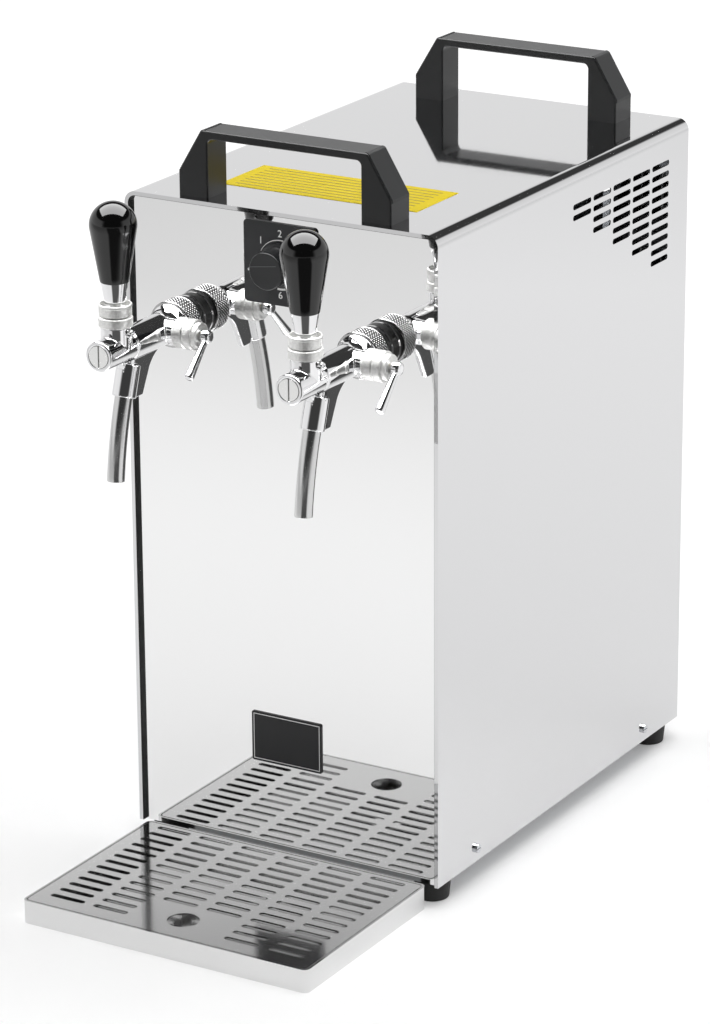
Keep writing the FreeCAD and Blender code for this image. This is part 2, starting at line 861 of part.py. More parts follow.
def make_base_plate():
    body = new_body()
    pad(body, "XY", "foot_height", "foot_height + pan_flange",
        (rectangle, ("-panel_half", "panel_half"), ("pan_front", "pan_rear")))
    pocket(body, "XY", "floor_z", "foot_height + pan_flange",
           (rectangle, ("-pan_inner", "pan_inner"), ("pan_front + pan_sheet", "pan_rear - pan_sheet")))
    feet = [(circle, x, y, "foot_stem_radius + fit_gap") for x in FOOT_X for y in FOOT_Y]
    pocket(body, "XY", "foot_height", "floor_z", *feet)
    holes = [(circle, y, "screw_z", "screw_radius + fit_gap") for y in SCREW_Y]
    pocket(body, "YZ", "-side_x", "side_x", *holes)
    rear = [(circle, x, "screw_z", "screw_radius + fit_gap") for x in PANEL_SCREW_X]
    pocket(body, "XZ", "pan_rear - pan_sheet", "pan_rear", *rear)
    keep("base_plate", body)


PANEL_SCREW_X = ("panel_screw_inset - side_x", "side_x - panel_screw_inset")


def make_feet():
    """Push-in rubber feet, each with a barbed stem through the pan."""
    feet = []
    for x in FOOT_X:
        for y in FOOT_Y:
            foot = new_body(x, y)
            turned(foot, "Z", [
                (0, 0), ("foot_radius - foot_taper - foot_edge", 0),
                ("foot_radius - foot_taper", "foot_edge", "foot_edge"), ("foot_radius", "foot_height"),
                ("foot_stem_radius", "foot_height"), ("foot_stem_radius", "floor_z"),
                ("foot_barb_radius", "floor_z"),
                ("foot_stem_radius", "floor_z + foot_barb_height"), (0, "floor_z + foot_barb_height"),
            ])
            feet.append(foot)
    keep("rubber_feet", group(*feet))


def screw(axis, side, at):
    """A slotted pan head screw; side is 1 where the head is on the axis's positive side."""
    a, b = at[1], at[2]
    under = at[0]
    head_end = "%s + (%d) * screw_head_height" % (under, side)
    tip = "%s - (%d) * screw_length" % (under, side)
    slot_floor = "%s + (%d) * (screw_head_height - screw_slot_depth)" % (under, side)
    if side < 0:
        head = rod(axis, "screw_head_radius", head_end, under, a, b)
        shank = rod(axis, "screw_radius", under, tip, a, b)
        depth = (head_end, slot_floor)
    else:
        head = rod(axis, "screw_head_radius", under, head_end, a, b)
        shank = rod(axis, "screw_radius", tip, under, a, b)
        depth = (slot_floor, head_end)
    across = ("%s - screw_head_radius" % a, "%s + screw_head_radius" % a)
    thin = ("%s - screw_slot / 2" % b, "%s + screw_slot / 2" % b)
    spans = (depth, across, thin) if axis == "X" else (across, depth, thin)
    return cut(fuse(head, shank), box(*spans))


def make_casing_screws():
    screws = []
    for y in SCREW_Y:
        screws.append(screw("X", 1, ("side_x", y, "screw_z")))
        screws.append(screw("X", -1, ("-side_x", y, "screw_z")))
    for x in PANEL_SCREW_X:
        screws.append(screw("Y", 1, ("rear_face", x, "screw_z")))
    keep("casing_screws", group(*screws))


# Panels: the polished front panel and the vented rear panel, each seated behind the casing's hem.

def panel_outline(sketch):
    """Draw a panel with the casing's inner corners at its top."""
    outline(sketch, [
        ("-panel_half", "foot_height"), ("panel_half", "foot_height"),
        ("panel_half", "panel_top - panel_corner"), ("panel_half - panel_corner", "panel_top", "panel_corner"),
        ("panel_corner - panel_half", "panel_top"), ("-panel_half", "panel_top - panel_corner", "panel_corner"),
    ])


def make_front_panel():
    body = new_body()
    pad(body, "XZ", "panel_y", "panel_back", (panel_outline,))
    holes = [(circle, x, "tap_z", "shank_radius + fit_gap") for x in TAP_X.values()]
    holes.append((circle, 0, "dial_z", "bush_radius + fit_gap"))
    pocket(body, "XZ", "panel_y", "panel_back", *holes)
    keep("front_panel", body)


TAP_X = {"left": "tap_inset - side_x", "right": "side_x - tap_inset"}
INLET_X = ("pump_x - 2 * inlet_pitch", "pump_x - inlet_pitch", "pump_x")


def make_rear_panel():
    body = new_body()
    pad(body, "XZ", "rear_panel_y", "rear_face", (panel_outline,))
    vents = []
    for way in (-1, 1):
        vents.append((slot, "(%d) * exhaust_column / 2" % way,
                      "fan_z - (exhaust_rows - 1) * exhaust_pitch / 2",
                      "exhaust_slot", "exhaust_slot_height"))
    row(body, pocket(body, "XZ", "rear_panel_y", "rear_face", *vents), "Z", "exhaust_rows", "exhaust_pitch")
    holes = [(circle, x, "inlet_z", "inlet_thread_radius + fit_gap") for x in INLET_X]
    holes.append((circle, "-gland_x", "gland_z", "gland_radius - pan_sheet + fit_gap"))
    holes += [(circle, x, "screw_z", "screw_radius + fit_gap") for x in PANEL_SCREW_X]
    half = ("switch_x - switch_width / 2", "switch_x + switch_width / 2")
    holes.append((rectangle, half, ("switch_z - switch_height / 2", "switch_z + switch_height / 2")))
    pocket(body, "XZ", "rear_panel_y", "rear_face", *holes)
    keep("rear_panel", body)


# Carrying grips: moulded bars with slanted ends, a bolt in each leg and a cover over each bolt.

def slant(offset):
    """The slanted end moved outwards by an offset: its knee, and the round corner at its top."""
    x = "grip_half + %s" % offset
    knee = "top_z + grip_knee + %s * (1 - slant_x) / slant_z" % offset
    high = "top_z + grip_height + %s" % offset
    top_x = "grip_half + (%s - (grip_rise + %s) * slant_z) / slant_x" % (offset, offset)
    radius = "(grip_top_radius + %s)" % offset
    reach = "%s * slant_x / (1 + slant_z)" % radius
    return [(x, knee), ("%s + %s * slant_z" % (top_x, reach), "%s - %s * slant_x" % (high, reach)),
            ("%s - %s" % (top_x, reach), high, radius)]


def reverse(corners, mirror=""):
    """The same corners in the opposite order, with each arc kept between its two corners."""
    arcs = [corner[2:] for corner in corners[1:]] + [()]
    sign = "" if mirror else "-"
    return [("%s(%s)" % (mirror, corner[0]), corner[1]) + tuple(sign + radius for radius in arc)
            for corner, arc in reversed(list(zip(corners, arcs)))]


def make_grip(name, front):
    body = new_body()
    back = "%s + grip_depth" % front
    end = [("grip_half", "top_z")] + slant("0")
    bar_z = "top_z + grip_height - grip_bar"
    opening_r = "grip_corner"
    pad(body, "XZ", front, back, (outline, end + reverse(end, "-") + [
        ("-grip_open_half", "top_z"), ("-grip_open_half", "%s - grip_corner" % bar_z),
        ("grip_corner - grip_open_half", bar_z, "-" + opening_r),
        ("grip_open_half - grip_corner", bar_z),
        ("grip_open_half", "%s - grip_corner" % bar_z, "-" + opening_r), ("grip_open_half", "top_z"),
    ]))
    faces = in_plane("y", front, back)
    floor = number("top_z")
    rounding(body, "grip_edge", lambda e: faces(e) and e.BoundBox.ZMax > floor + 1e-4)
    for way in (1, -1):
        recess = [("grip_half - cap_thickness", "top_z + grip_knee - cap_step")]
        recess += slant("(0 - cap_thickness)")
        recess += [("grip_half - grip_slant - cap_top", "top_z + grip_height - cap_thickness")]
        recess += [("grip_half - grip_slant - cap_top", "top_z + grip_height + cap_thickness")]
        recess += [("grip_half + cap_thickness", "top_z + grip_height + cap_thickness")]
        recess += [("grip_half + cap_thickness", "top_z + grip_knee - cap_step")]
        if way < 0:
            recess = reverse(recess, "-")
        pocket(body, "XZ", "%s + cap_inset" % front, "%s - cap_inset" % back, (outline, recess))
    middle = "%s + grip_depth / 2" % front
    bolts = [(circle, x, middle, "grip_bolt_radius + fit_gap") for x in GRIP_BOLT_X]
    pocket(body, "XY", "top_z", "top_z + grip_bolt_seat", *bolts)
    wells = [(circle, x, middle, "grip_bolt_head + fit_gap") for x in GRIP_BOLT_X]
    pocket(body, "XY", "top_z + grip_bolt_seat", "top_z + grip_height", *wells)
    keep(name, body)


GRIP_FRONTS = ("front_y + front_grip_inset", "back_y - rear_grip_inset - grip_depth")


def make_grip_caps():
    """Snap-in covers that follow each slanted end from its lower step to the top."""
    caps = []
    low = "top_z + grip_knee - cap_step + fit_gap"
    top_x = "grip_half - grip_slant - cap_top + fit_gap"
    inner = "(fit_gap - cap_thickness)"
    for front in GRIP_FRONTS:
        for way in (1, -1):
            corners = [("grip_half + %s" % inner, low)] + slant(inner)
            corners += [(top_x, "top_z + grip_height + %s" % inner)]
            corners += [(top_x, "top_z + grip_height + cap_proud")]
            corners += reverse(slant("cap_proud")) + [("grip_half + cap_proud", low)]
            if way < 0:
                corners = reverse(corners, "-")
            cap = new_body()
            pad(cap, "XZ", "%s + cap_inset + fit_gap" % front,
                "%s + grip_depth - cap_inset - fit_gap" % front, (outline, corners))
            caps.append(cap)
    keep("grip_caps", group(*caps))


def make_grip_bolts():
    """Button head bolts with hexagon nuts under the casing's top."""
    pieces = []
    for y in GRIP_Y:
        for x in GRIP_BOLT_X:
            seat = "top_z + grip_bolt_seat"
            head = rod("Z", "grip_bolt_head", seat, "%s + grip_bolt_head_height" % seat, x, y)
            stem = rod("Z", "grip_bolt_radius", "roof_z - grip_bolt_reach", seat, x, y)
            key = nut("Z", "grip_bolt_head / 2", "%s + grip_bolt_head_height / 2" % seat,
                      "%s + grip_bolt_head_height" % seat, x, y)
            pieces.append(cut(fuse(head, stem), key))
            ring = nut("Z", "grip_nut_radius", "roof_z - grip_nut_height", "roof_z", x, y)
            hole = rod("Z", "grip_bolt_radius + thread_gap", "roof_z - grip_nut_height", "roof_z", x, y)
            pieces.append(cut(ring, hole))
    keep("grip_screws", group(*pieces))


# Thermostat: a square dial plate, a push-on knob, its spindle, and the switch body behind the panel.

def make_dial_plate():
    body = new_body(0, "dial_face", "dial_z")
    half = ("0 - dial_size / 2", "dial_size / 2")
    pad(body, "XZ", 0, "dial_thickness", (rounded, half, half, "dial_corner"))
    pocket(body, "XZ", 0, "dial_thickness", (circle, 0, 0, "bush_radius + fit_gap"))
    keep("thermostat_plate", body)


def make_dial_knob():
    body = new_body(0, "knob_front", "dial_z")
    face = "knob_face_radius"
    turned(body, "Y", [
        (0, 0), (face + " - knob_edge", 0), (face, "knob_edge", "knob_edge"),
        (face, "knob_depth - knob_skirt"), ("knob_skirt_radius", "knob_depth - knob_skirt + knob_edge"),
        ("knob_skirt_radius", "knob_depth"), (0, "knob_depth"),
    ])
    half = "spindle_square / 2 + shaft_gap"
    pocket(body, "XZ", "knob_depth - run_gap - spindle_square_length", "knob_depth",
           (rectangle, ("0 - " + half.replace("+", "-"), half), ("0 - " + half.replace("+", "-"), half)))
    bored(body, "Y", [
        (0, "knob_depth - knob_skirt"), ("bush_radius + run_gap", "knob_depth - knob_skirt"),
        ("bush_radius + run_gap", "knob_depth"), (0, "knob_depth"),
    ])
    keep("thermostat_knob", body)


def make_thermostat():
    """The switch body with its neck through the panel, and the spindle that turns in the neck."""
    rear = "panel_back + thermostat_depth"
    half = "thermostat_height / 2"
    case = box(("0 - thermostat_half", "thermostat_half"), ("panel_back", rear),
               ("dial_z - " + half, "dial_z + " + half))
    neck = rod("Y", "bush_radius", "dial_face", "panel_back", 0, "dial_z")
    bore = rod("Y", "spindle_radius + shaft_gap", "dial_face", "panel_back + thermostat_depth / 2", 0, "dial_z")
    keep("thermostat_body", cut(fuse(case, neck), bore))
    square = ("0 - spindle_square / 2", "spindle_square / 2")
    tip = box(square, ("knob_back - spindle_square_length", "knob_back"),
              ("dial_z - spindle_square / 2", "dial_z + spindle_square / 2"))
    shaft = rod("Y", "spindle_radius", "knob_back", "panel_back + thermostat_depth / 2 - fit_gap", 0, "dial_z")
    keep("thermostat_spindle", fuse(tip, shaft))


def make_plates():
    """The name plate on the front panel and the label on the casing's top, both left plain."""
    badge = new_body(0, "panel_y - badge_thickness", "badge_bottom")
    pad(badge, "XZ", 0, "badge_thickness",
        (rounded, ("0 - badge_width / 2", "badge_width / 2"), (0, "badge_height"), "badge_corner"))
    keep("badge_plate", badge)
    keep("top_label", box(("label_shift - label_width / 2", "label_shift + label_width / 2"),
                          ("front_y + label_front", "front_y + label_front + label_depth"),
                          ("top_z", "top_z + label_thickness")))


# Drip tray: a pressed tray with a ledge all round, and a slotted grate that lies on the ledge.

def make_drip_tray():
    body = new_body(0, "tray_back")
    half = ("0 - tray_half", "tray_half")
    pad(body, "XY", 0, "tray_height", (rounded, half, ("0 - tray_depth", 0), "tray_corner"))
    for step, floor in (("tray_wall", "ledge_z"), ("(tray_wall + tray_ledge)", "tray_wall")):
        inner = ("%s - tray_half" % step, "tray_half - %s" % step)
        pocket(body, "XY", floor, "tray_height",
               (rounded, inner, ("%s - tray_depth" % step, "0 - %s" % step), "(tray_corner - tray_wall)"))
    keep("drip_tray", body)


def make_drip_grate():
    body = new_body(0, "tray_back")
    edge = "(tray_wall + grate_gap)"
    half = ("%s - tray_half" % edge, "tray_half - %s" % edge)
    pad(body, "XY", "ledge_z", "tray_height",
        (rounded, half, ("%s - tray_depth" % edge, "0 - %s" % edge), "(tray_corner - tray_wall)"))
    skirt = "(tray_wall + tray_ledge + grate_gap)"
    inside = "(tray_wall + tray_ledge + grate_gap + grate_sheet)"
    pad(body, "XY", "ledge_z - grate_flange", "ledge_z",
        (rounded, ("%s - tray_half" % skirt, "tray_half - %s" % skirt),
         ("%s - tray_depth" % skirt, "0 - %s" % skirt), "(tray_corner - tray_wall)"),
        (rounded, ("%s - tray_half" % inside, "tray_half - %s" % inside),
         ("%s - tray_depth" % inside, "0 - %s" % inside), "(tray_corner - tray_wall - grate_sheet)"))
    columns = SIZES["slot_columns"]
    middle = [i for i in range(columns) if abs(i - (columns - 1) / 2) < 1]
    outer = [i for i in range(columns) if i not in middle]
    for places_x, count in ((outer, "slot_rows"), (middle, "(slot_rows - finger_hole_rows)")):
        slots = [(slot, "(%s) * slot_pitch_x" % (i - (columns - 1) / 2), "0 - slot_first",
                  "slot_length", "slot_height") for i in places_x]
        cuts = pocket(body, "XY", "ledge_z", "tray_height", *slots)
        row(body, cuts, "Y", count, "slot_pitch_y", True)
    pocket(body, "XY", "ledge_z", "tray_height", (circle, 0, "0 - finger_hole_y", "finger_hole_radius"))
    keep("drip_grate", body)


# Taps: each one is built about its own axis, forward of the panel, and placed left and right.

def tap_place(side, lift="0", out="0"):
    """The place of a tap piece's own origin."""
    return TAP_X[side], "panel_y - %s" % out, "tap_z + %s" % lift


def make_shank(side):
    """A threaded tube through the panel, with a flange outside and a socket for the beer line."""
    body = new_body(*tap_place(side))
    turned(body, "Y", [
        ("shank_bore", "0 - thread_out"), ("shank_thread_radius", "0 - thread_out"),
        ("shank_thread_radius", "0 - seal_out"), ("flange_radius", "0 - seal_out"),
        ("flange_radius", "0 - flange_out"), ("shank_radius", "0 - flange_out"),
        ("shank_radius", "shank_inside"), ("line_radius + thread_gap", "shank_inside"),
        ("line_radius + thread_gap", "shank_inside - shank_socket"),
        ("shank_bore", "shank_inside - shank_socket"),
    ])
    keep(side + "_tap_shank", body)


def ring(body, inner, outer, low, high):
    """A plain washer about the tap's axis."""
    turned(body, "Y", [(inner, low), (outer, low), (outer, high), (inner, high)])
    return body


def make_gaskets_and_nuts():
    gaskets = []
    nuts = []
    for side in TAP_X:
        x, y, z = tap_place(side)
        gaskets.append(ring(new_body(x, y, z), "shank_radius + fit_gap", "gasket_radius",
                            "0 - flange_out", "0"))
        gaskets.append(ring(new_body(x, y, z), "shank_thread_radius + fit_gap", "seal_radius",
                            "0 - collar_out", "0 - seal_out"))
        nut_end = "panel_back + nut_height"
        hole = rod("Y", "shank_radius + thread_gap", "panel_back", nut_end, x, z)
        nuts.append(cut(nut("Y", "nut_radius", "panel_back", nut_end, x, z), hole))
    keep("wall_gaskets", group(*gaskets))
    keep("shank_nuts", group(*nuts))


def make_collars():
    """Knurled coupling nuts that pull each tap's tail onto its shank, with a spanner hole."""
    collars = []
    for side in TAP_X:
        body = new_body(*tap_place(side))
        thread = "shank_thread_radius + thread_gap"
        outer = "collar_radius"
        turned(body, "Y", [
            ("tail_radius + thread_gap", "0 - collar_end"), (outer + " - collar_edge", "0 - collar_end"),
            (outer, "collar_edge - collar_end"), (outer, "0 - collar_out - collar_edge"),
            (outer + " - collar_edge", "0 - collar_out"), (thread, "0 - collar_out"),
            (thread, "collar_lip - collar_end"), ("tail_radius + thread_gap", "collar_lip - collar_end"),
        ])
        x, y, z = tap_place(side)
        hole = doc.addObject("Part::Cylinder", "Hole")
        hole.setExpression("Radius", ex("collar_hole_radius"))
        hole.setExpression("Height", ex("collar_hole_depth + collar_edge"))
        reach = "(collar_radius - collar_hole_depth)"
        put(hole, "%s + %s * cos(collar_hole_angle)" % (x, reach),
            "%s - collar_out - collar_length / 2" % y,
            "%s + %s * sin(collar_hole_angle)" % (z, reach), (AXES["Y"], "90 - collar_hole_angle"))
        collars.append(cut(body, hole))
    keep("tap_collars", group(*collars))


def make_tap_body(side):
    """A cast and chromed body: barrel, lever column, compensator neck, spout socket and its fin."""
    body = new_body(*tap_place(side))
    turned(body, "Y", [
        (0, "0 - tail_out"), (0, "0 - tap_end"), ("boss_radius - boss_edge", "0 - tap_end"),
        ("boss_radius", "boss_edge - tap_end", "boss_edge"), ("boss_radius", "0 - boss_out"),
        ("barrel_radius", "barrel_radius - boss_radius - boss_out"), ("barrel_radius", "0 - barrel_out"),
        ("bell_radius", "0 - bell_out", "0 - bell_curve"), ("tail_radius", "0 - bell_out"),
        ("tail_radius", "0 - tail_end"), ("shank_thread_radius - fit_gap", "0 - tail_end"),
        ("shank_thread_radius - fit_gap", "0 - tail_out"),
    ])
    turned(body, "Z", [(0, 0), ("column_radius", 0), ("column_radius", "column_height"), (0, "column_height")],
           centre=(0, "0 - lever_out"))
    turned(body, "X", [(0, 0), ("comp_neck_radius", 0), ("comp_neck_radius", "comp_neck"), (0, "comp_neck")],
           centre=("0 - comp_out", "comp_rise"))
    pad(body, "YZ", "0 - fin_thickness / 2", "fin_thickness / 2", (outline, [
        ("0 - lever_out", "0 - passage_radius"), ("fin_front - spout_out", "fin_front_rise - spout_drop"),
        ("fin_foot - spout_out", "0 - spout_drop - fin_foot_drop"),
        ("fin_foot + fin_foot_length - spout_out", "0 - spout_drop - fin_foot_drop"),
        ("fin_heel - spout_out", "fin_heel_rise - spout_drop"),
        ("fin_root - barrel_out", "fin_root_sink - barrel_radius", "0 - fin_curve"),
        ("fin_root - barrel_out", "0 - passage_radius"),
    ]))
    socket(body, "Pad", "socket_radius", "socket_length")
    bored(body, "Y", [
        (0, "0 - tap_end - boss_edge"), ("cylinder_radius", "0 - tap_end - boss_edge"),
        ("cylinder_radius", "0 - seat_out - seat_length"), ("seat_radius", "0 - seat_out - seat_length"),
        ("seat_radius", "0 - seat_out"), ("cylinder_radius", "0 - seat_out"),
        ("cylinder_radius", "chamber_length - seat_out"), ("passage_radius", "chamber_length - seat_out"),
        ("passage_radius", "0 - tail_out"), (0, "0 - tail_out"),
    ])
    bored(body, "Z", [(0, 0), ("cavity_radius", 0), ("cavity_radius", "column_height"), (0, "column_height")],
          centre=(0, "0 - lever_out"))
    bored(body, "X", [(0, 0), ("comp_bore", 0), ("comp_bore", "comp_neck"), (0, "comp_neck")],
          centre=("0 - comp_out", "comp_rise"))
    socket(body, "Pocket", "socket_bore", "spout_drop")
    socket(body, "Pocket", "spout_radius + thread_gap", "spout_insert")
    keep(side + "_tap_body", body)


def socket(body, kind, radius, length):
    """Add or bore the leaning spout socket, from its lower end upwards."""
    sketch = new_sketch(body, "XY", "0 - spout_drop", (0, "0 - spout_out"))
    sketch.AttachmentOffset = FreeCAD.Placement(
        sketch.AttachmentOffset.Base, FreeCAD.Rotation(AXES["X"], 1))
    sketch.setExpression("AttachmentOffset.Rotation.Angle", ex("0 - spout_lean"))
    circle(sketch, 0, 0, radius)
    feature = body.newObject("PartDesign::" + kind, kind)
    feature.Profile = sketch
    feature.Reversed = kind == "Pocket"
    feature.setExpression("Length", ex(length))
    return feature


def make_spout(side):
    """A bent tube that enters the socket and curves down to near vertical."""
    body = new_body(*tap_place(side, "(0 - spout_drop)", "spout_out"),
                    turn=(AXES["X"], "0 - spout_lean"))
    spine = new_sketch(body, "YZ")
    top = FreeCAD.Vector(0, number("spout_insert - fit_gap"), 0)
    turn = "(spout_lean - spout_end_lean)"
    end = ("spout_curve * (1 - cos(%s))" % turn, "0 - spout_curve * sin(%s)" % turn)
    spine.addGeometry(Part.LineSegment(top, FreeCAD.Vector()), False)
    finish = FreeCAD.Vector(number(end[0]), number(end[1]), 0)
    spine.addGeometry(arc_between(FreeCAD.Vector(), finish, number("spout_curve")), False)
    pin_point(spine, 0, 1, 0, "spout_insert - fit_gap")
    pin_point(spine, 0, 2, 0, 0)
    spine.addConstraint(Sketcher.Constraint("Coincident", 0, 2, 1, 1))
    pin_point(spine, 1, 2, *end)
    pin(spine, "Radius", (1,), "spout_curve")
    profile = new_sketch(body, "XY", "spout_insert - fit_gap")
    circle(profile, 0, 0, "spout_radius")
    circle(profile, 0, 0, "spout_radius - spout_wall")
    pipe = body.newObject("PartDesign::AdditivePipe", "Pipe")
    pipe.Profile = profile
    pipe.Spine = (spine, ["Edge1", "Edge2"])
    keep(side + "_tap_spout", body)


def make_plugs():
    """Slotted screw plugs that close the front of each barrel."""
    plugs = []
    for side in TAP_X:
        x, y, z = tap_place(side)
        end = "%s - tap_end" % y
        radius = "cylinder_radius - thread_gap"
        core = rod("Y", radius, end, "%s + plug_length" % end, x, z)
        groove = box(("%s - plug_slot / 2" % x, "%s + plug_slot / 2" % x), (end, "%s + plug_slot_depth" % end),
                     ("%s - cylinder_radius" % z, "%s + cylinder_radius" % z))
        plugs.append(cut(core, groove))
    keep("tap_plugs", group(*plugs))


def make_lever_rings(side, locks):
    """The satin collar that carries the lever's ball, and the lock ring that holds it down."""
    collar = new_body(*tap_place(side, "0", "lever_out"))
    turned(collar, "Z", [
        ("cavity_radius", "column_height"), ("lever_collar_radius", "column_height"),
        ("lever_collar_radius", "cavity_z - ring_groove"), ("lock_ring_radius - ring_groove", "cavity_z"),
        ("ball_radius + ball_seat_gap", "cavity_z"),
        ("ball_radius - ball_seat_inset", "pivot_height - ball_seat_drop"),
    ])
    keep(side + "_lever_collar", collar)
    lock = new_body(*tap_place(side, "0", "lever_out"))
    rim = "lock_ring_radius - lock_ring_rim"
    floor = "lock_top - lock_ring_recess"
    turned(lock, "Z", [
        ("ball_radius + run_gap", "cavity_z"), ("lock_ring_radius - ring_groove", "cavity_z"),
        ("lock_ring_radius", "cavity_z + ring_groove"), ("lock_ring_radius", "lock_top"),
        (rim, "lock_top"), (rim, floor), ("ball_radius - run_gap", floor),
        ("ball_radius + run_gap", "pivot_height"),
    ])
    locks.append(lock)


def make_lever(side):
    """A steel lever with a finger ball below, a pivot ball, a chromed ferrule and a threaded stud."""
    body = new_body(*tap_place(side, "pivot_height", "lever_out"))
    finger_top = "sqrt(finger_radius ^ 2 - finger_neck ^ 2) - pivot_height"
    top = "ferrule_bottom + ferrule_height"
    turned(body, "Z", [
        (0, "0 - pivot_height - finger_radius"), ("finger_neck", finger_top, "finger_radius"),
        ("finger_neck", "0 - sqrt(ball_radius ^ 2 - finger_neck ^ 2)"),
        ("neck_radius", "sqrt(ball_radius ^ 2 - neck_radius ^ 2)", "ball_radius"),
        ("neck_radius", "ferrule_bottom"), ("ferrule_radius", "ferrule_bottom"),
        ("ferrule_top_radius", top), ("neck_radius", top), ("neck_radius", "%s + stud_length" % top),
        (0, "%s + stud_length" % top),
    ])
    keep(side + "_tap_lever", body)


def make_lever_knob(side):
    """A moulded tapered knob with a round top, screwed onto the lever's stud."""
    body = new_body(*tap_place(side, "pivot_height", "lever_out"))
    bottom = "ferrule_bottom + ferrule_height"
    fall = "(knob_centre - %s)" % bottom.replace("+", "-")
    lean = ("(asin(knob_radius / sqrt(knob_bottom_radius ^ 2 + {0} ^ 2))"
            " - atan(knob_bottom_radius / {0}))").format(fall)
    bore = "neck_radius + thread_gap"
    bore_top = "%s + stud_length + run_gap" % bottom
    turned(body, "Z", [
        (bore, bottom), ("knob_bottom_radius", bottom),
        ("knob_radius * cos(%s)" % lean, "knob_centre - knob_radius * sin(%s)" % lean),
        (0, "knob_centre + knob_radius", "knob_radius"), (0, bore_top), (bore, bore_top),
    ])
    keep(side + "_lever_knob", body)


def make_piston(side):
    """The sliding piston: a head with a slot for the lever's finger, a stem and a seat land."""
    body = new_body(*tap_place(side))
    land = "seat_radius - thread_gap"
    turned(body, "Y", [
        (0, "0 - land_out"), (0, "0 - piston_tip"), ("cylinder_radius - thread_gap", "0 - piston_tip"),
        ("cylinder_radius - thread_gap", "0 - piston_heel"), ("piston_stem", "0 - piston_heel"),
        ("piston_stem", "0 - land_out - piston_land"), (land, "0 - land_out - piston_land"),
        (land, "0 - land_out"),
    ])
    half = "(finger_radius + run_gap)"
    wide = "(finger_radius + piston_slot_flare)"
    for reach, low, high in ((half, "0 - " + half, half), (wide, half, "cylinder_radius")):
        pocket(body, "XY", low, high, (rectangle, ("0 - " + half, half),
                                       ("0 - lever_out - " + reach, reach + " - lever_out")))
    bored(body, "Y", [
        (0, "0 - piston_heel + piston_bleed"), ("piston_bleed", "0 - piston_heel + piston_bleed"),
        ("piston_bleed", "0 - land_out"), (0, "0 - land_out"),
    ])
    keep(side + "_tap_piston", body)


def make_compensator(side):
    """The flow compensator: a satin bonnet, the cone that throttles the beer, and its lever."""
    x, y, z = tap_place(side, "comp_rise", "comp_out")
    bonnet = new_body(x, y, z)
    bore = "cone_stem_radius + shaft_gap"
    low = "bonnet_radius - bonnet_groove"
    turned(bonnet, "X", [
        (bore, "bonnet_x - bonnet_spigot"), ("comp_bore - thread_gap", "bonnet_x - bonnet_spigot"),
        ("comp_bore - thread_gap", "bonnet_x"), (low, "bonnet_x"), ("bonnet_radius", "bonnet_x + bonnet_groove"),
        ("bonnet_radius", "bonnet_end - 4 * bonnet_groove"), (low, "bonnet_end - 3 * bonnet_groove"),
        ("bonnet_radius", "bonnet_end - 2 * bonnet_groove"), ("bonnet_radius", "bonnet_end - bonnet_groove"),
        (low, "bonnet_end"), ("bonnet_cap_radius", "bonnet_end"),
        ("bonnet_cap_radius", "bonnet_cap_end - bonnet_groove"),
        ("bonnet_cap_radius - bonnet_groove", "bonnet_cap_end"), (bore, "bonnet_cap_end"),
    ])
    keep(side + "_comp_bonnet", bonnet)
    cone = new_body(x, y, z)
    head = "bonnet_x - bonnet_spigot - cone_head_gap"
    turned(cone, "X", [
        (0, "0 - cone_tip"), ("cone_tip", "0 - cone_tip"), ("cone_head_radius", "passage_radius"),
        ("cone_head_radius", head), ("cone_stem_radius", head),
        ("cone_stem_radius", "hub_x + cone_grip"), (0, "hub_x + cone_grip"),
    ])
    keep(side + "_comp_cone", cone)
    lever = new_body(x, y, z, (AXES["X"], "0 - rod_rest_angle"))
    turned(lever, "X", [
        (0, "hub_x"), ("hub_radius - bonnet_groove", "hub_x"), ("hub_radius", "hub_x + bonnet_groove"),
        ("hub_radius", "hub_end - hub_edge"), ("hub_radius - hub_edge", "hub_end", "hub_edge"),
        (0, "hub_end"),
    ])
    root = "0 - (hub_radius + cone_stem_radius) / 2"
    turned(lever, "Z", [
        (0, root), (0, "0 - rod_reach"), ("rod_end_radius - rod_edge", "0 - rod_reach"),
        ("rod_end_radius", "rod_edge - rod_reach", "rod_edge"), ("rod_neck_radius", root),
    ], centre=("hub_x + hub_length / 2", 0))
    bored(lever, "X", [
        (0, "hub_x"), (bore, "hub_x"), (bore, "hub_x + hub_bore"), (0, "hub_x + hub_bore"),
    ])
    keep(side + "_comp_lever", lever)


def make_taps():
    locks = []
    for side in TAP_X:
        make_shank(side)
        make_tap_body(side)
        make_spout(side)
        make_lever_rings(side, locks)
        make_lever(side)
        make_lever_knob(side)
        make_piston(side)
        make_compensator(side)
    keep("lock_rings", group(*locks))
    make_gaskets_and_nuts()
    make_collars()
    make_plugs()


# Cold side: an aluminium block with cast-in lines, inside a foam box with a plug lid.

def make_cold_block():
    block = box(("block_gap - block_half", "block_half - block_gap"),
                ("block_y + block_gap", "block_back - block_gap"), ("block_z", "block_top"))
    wells = []
    for x in TAP_X.values():
        wells.append(rod("Z", "line_radius + thread_gap", "block_top - line_socket", "block_top", x, "line_y"))
    for x in INLET_X[:2]:
        wells.append(rod("Y", "line_radius + thread_gap", "block_back - line_socket", "block_back", x, "inlet_z"))
    for x, z in ((SUCTION_X, "suction_z"), ("drier_x", "suction_z - pipe_rise")):
        wells.append(rod("Y", "pipe_radius + thread_gap", "block_back - line_socket", "block_back", x, z))
    keep("cold_block", cut(block, *wells))


SUCTION_X = "(compressor_x + pipe_shift)"
DISCHARGE_X = "(compressor_x - pipe_shift)"


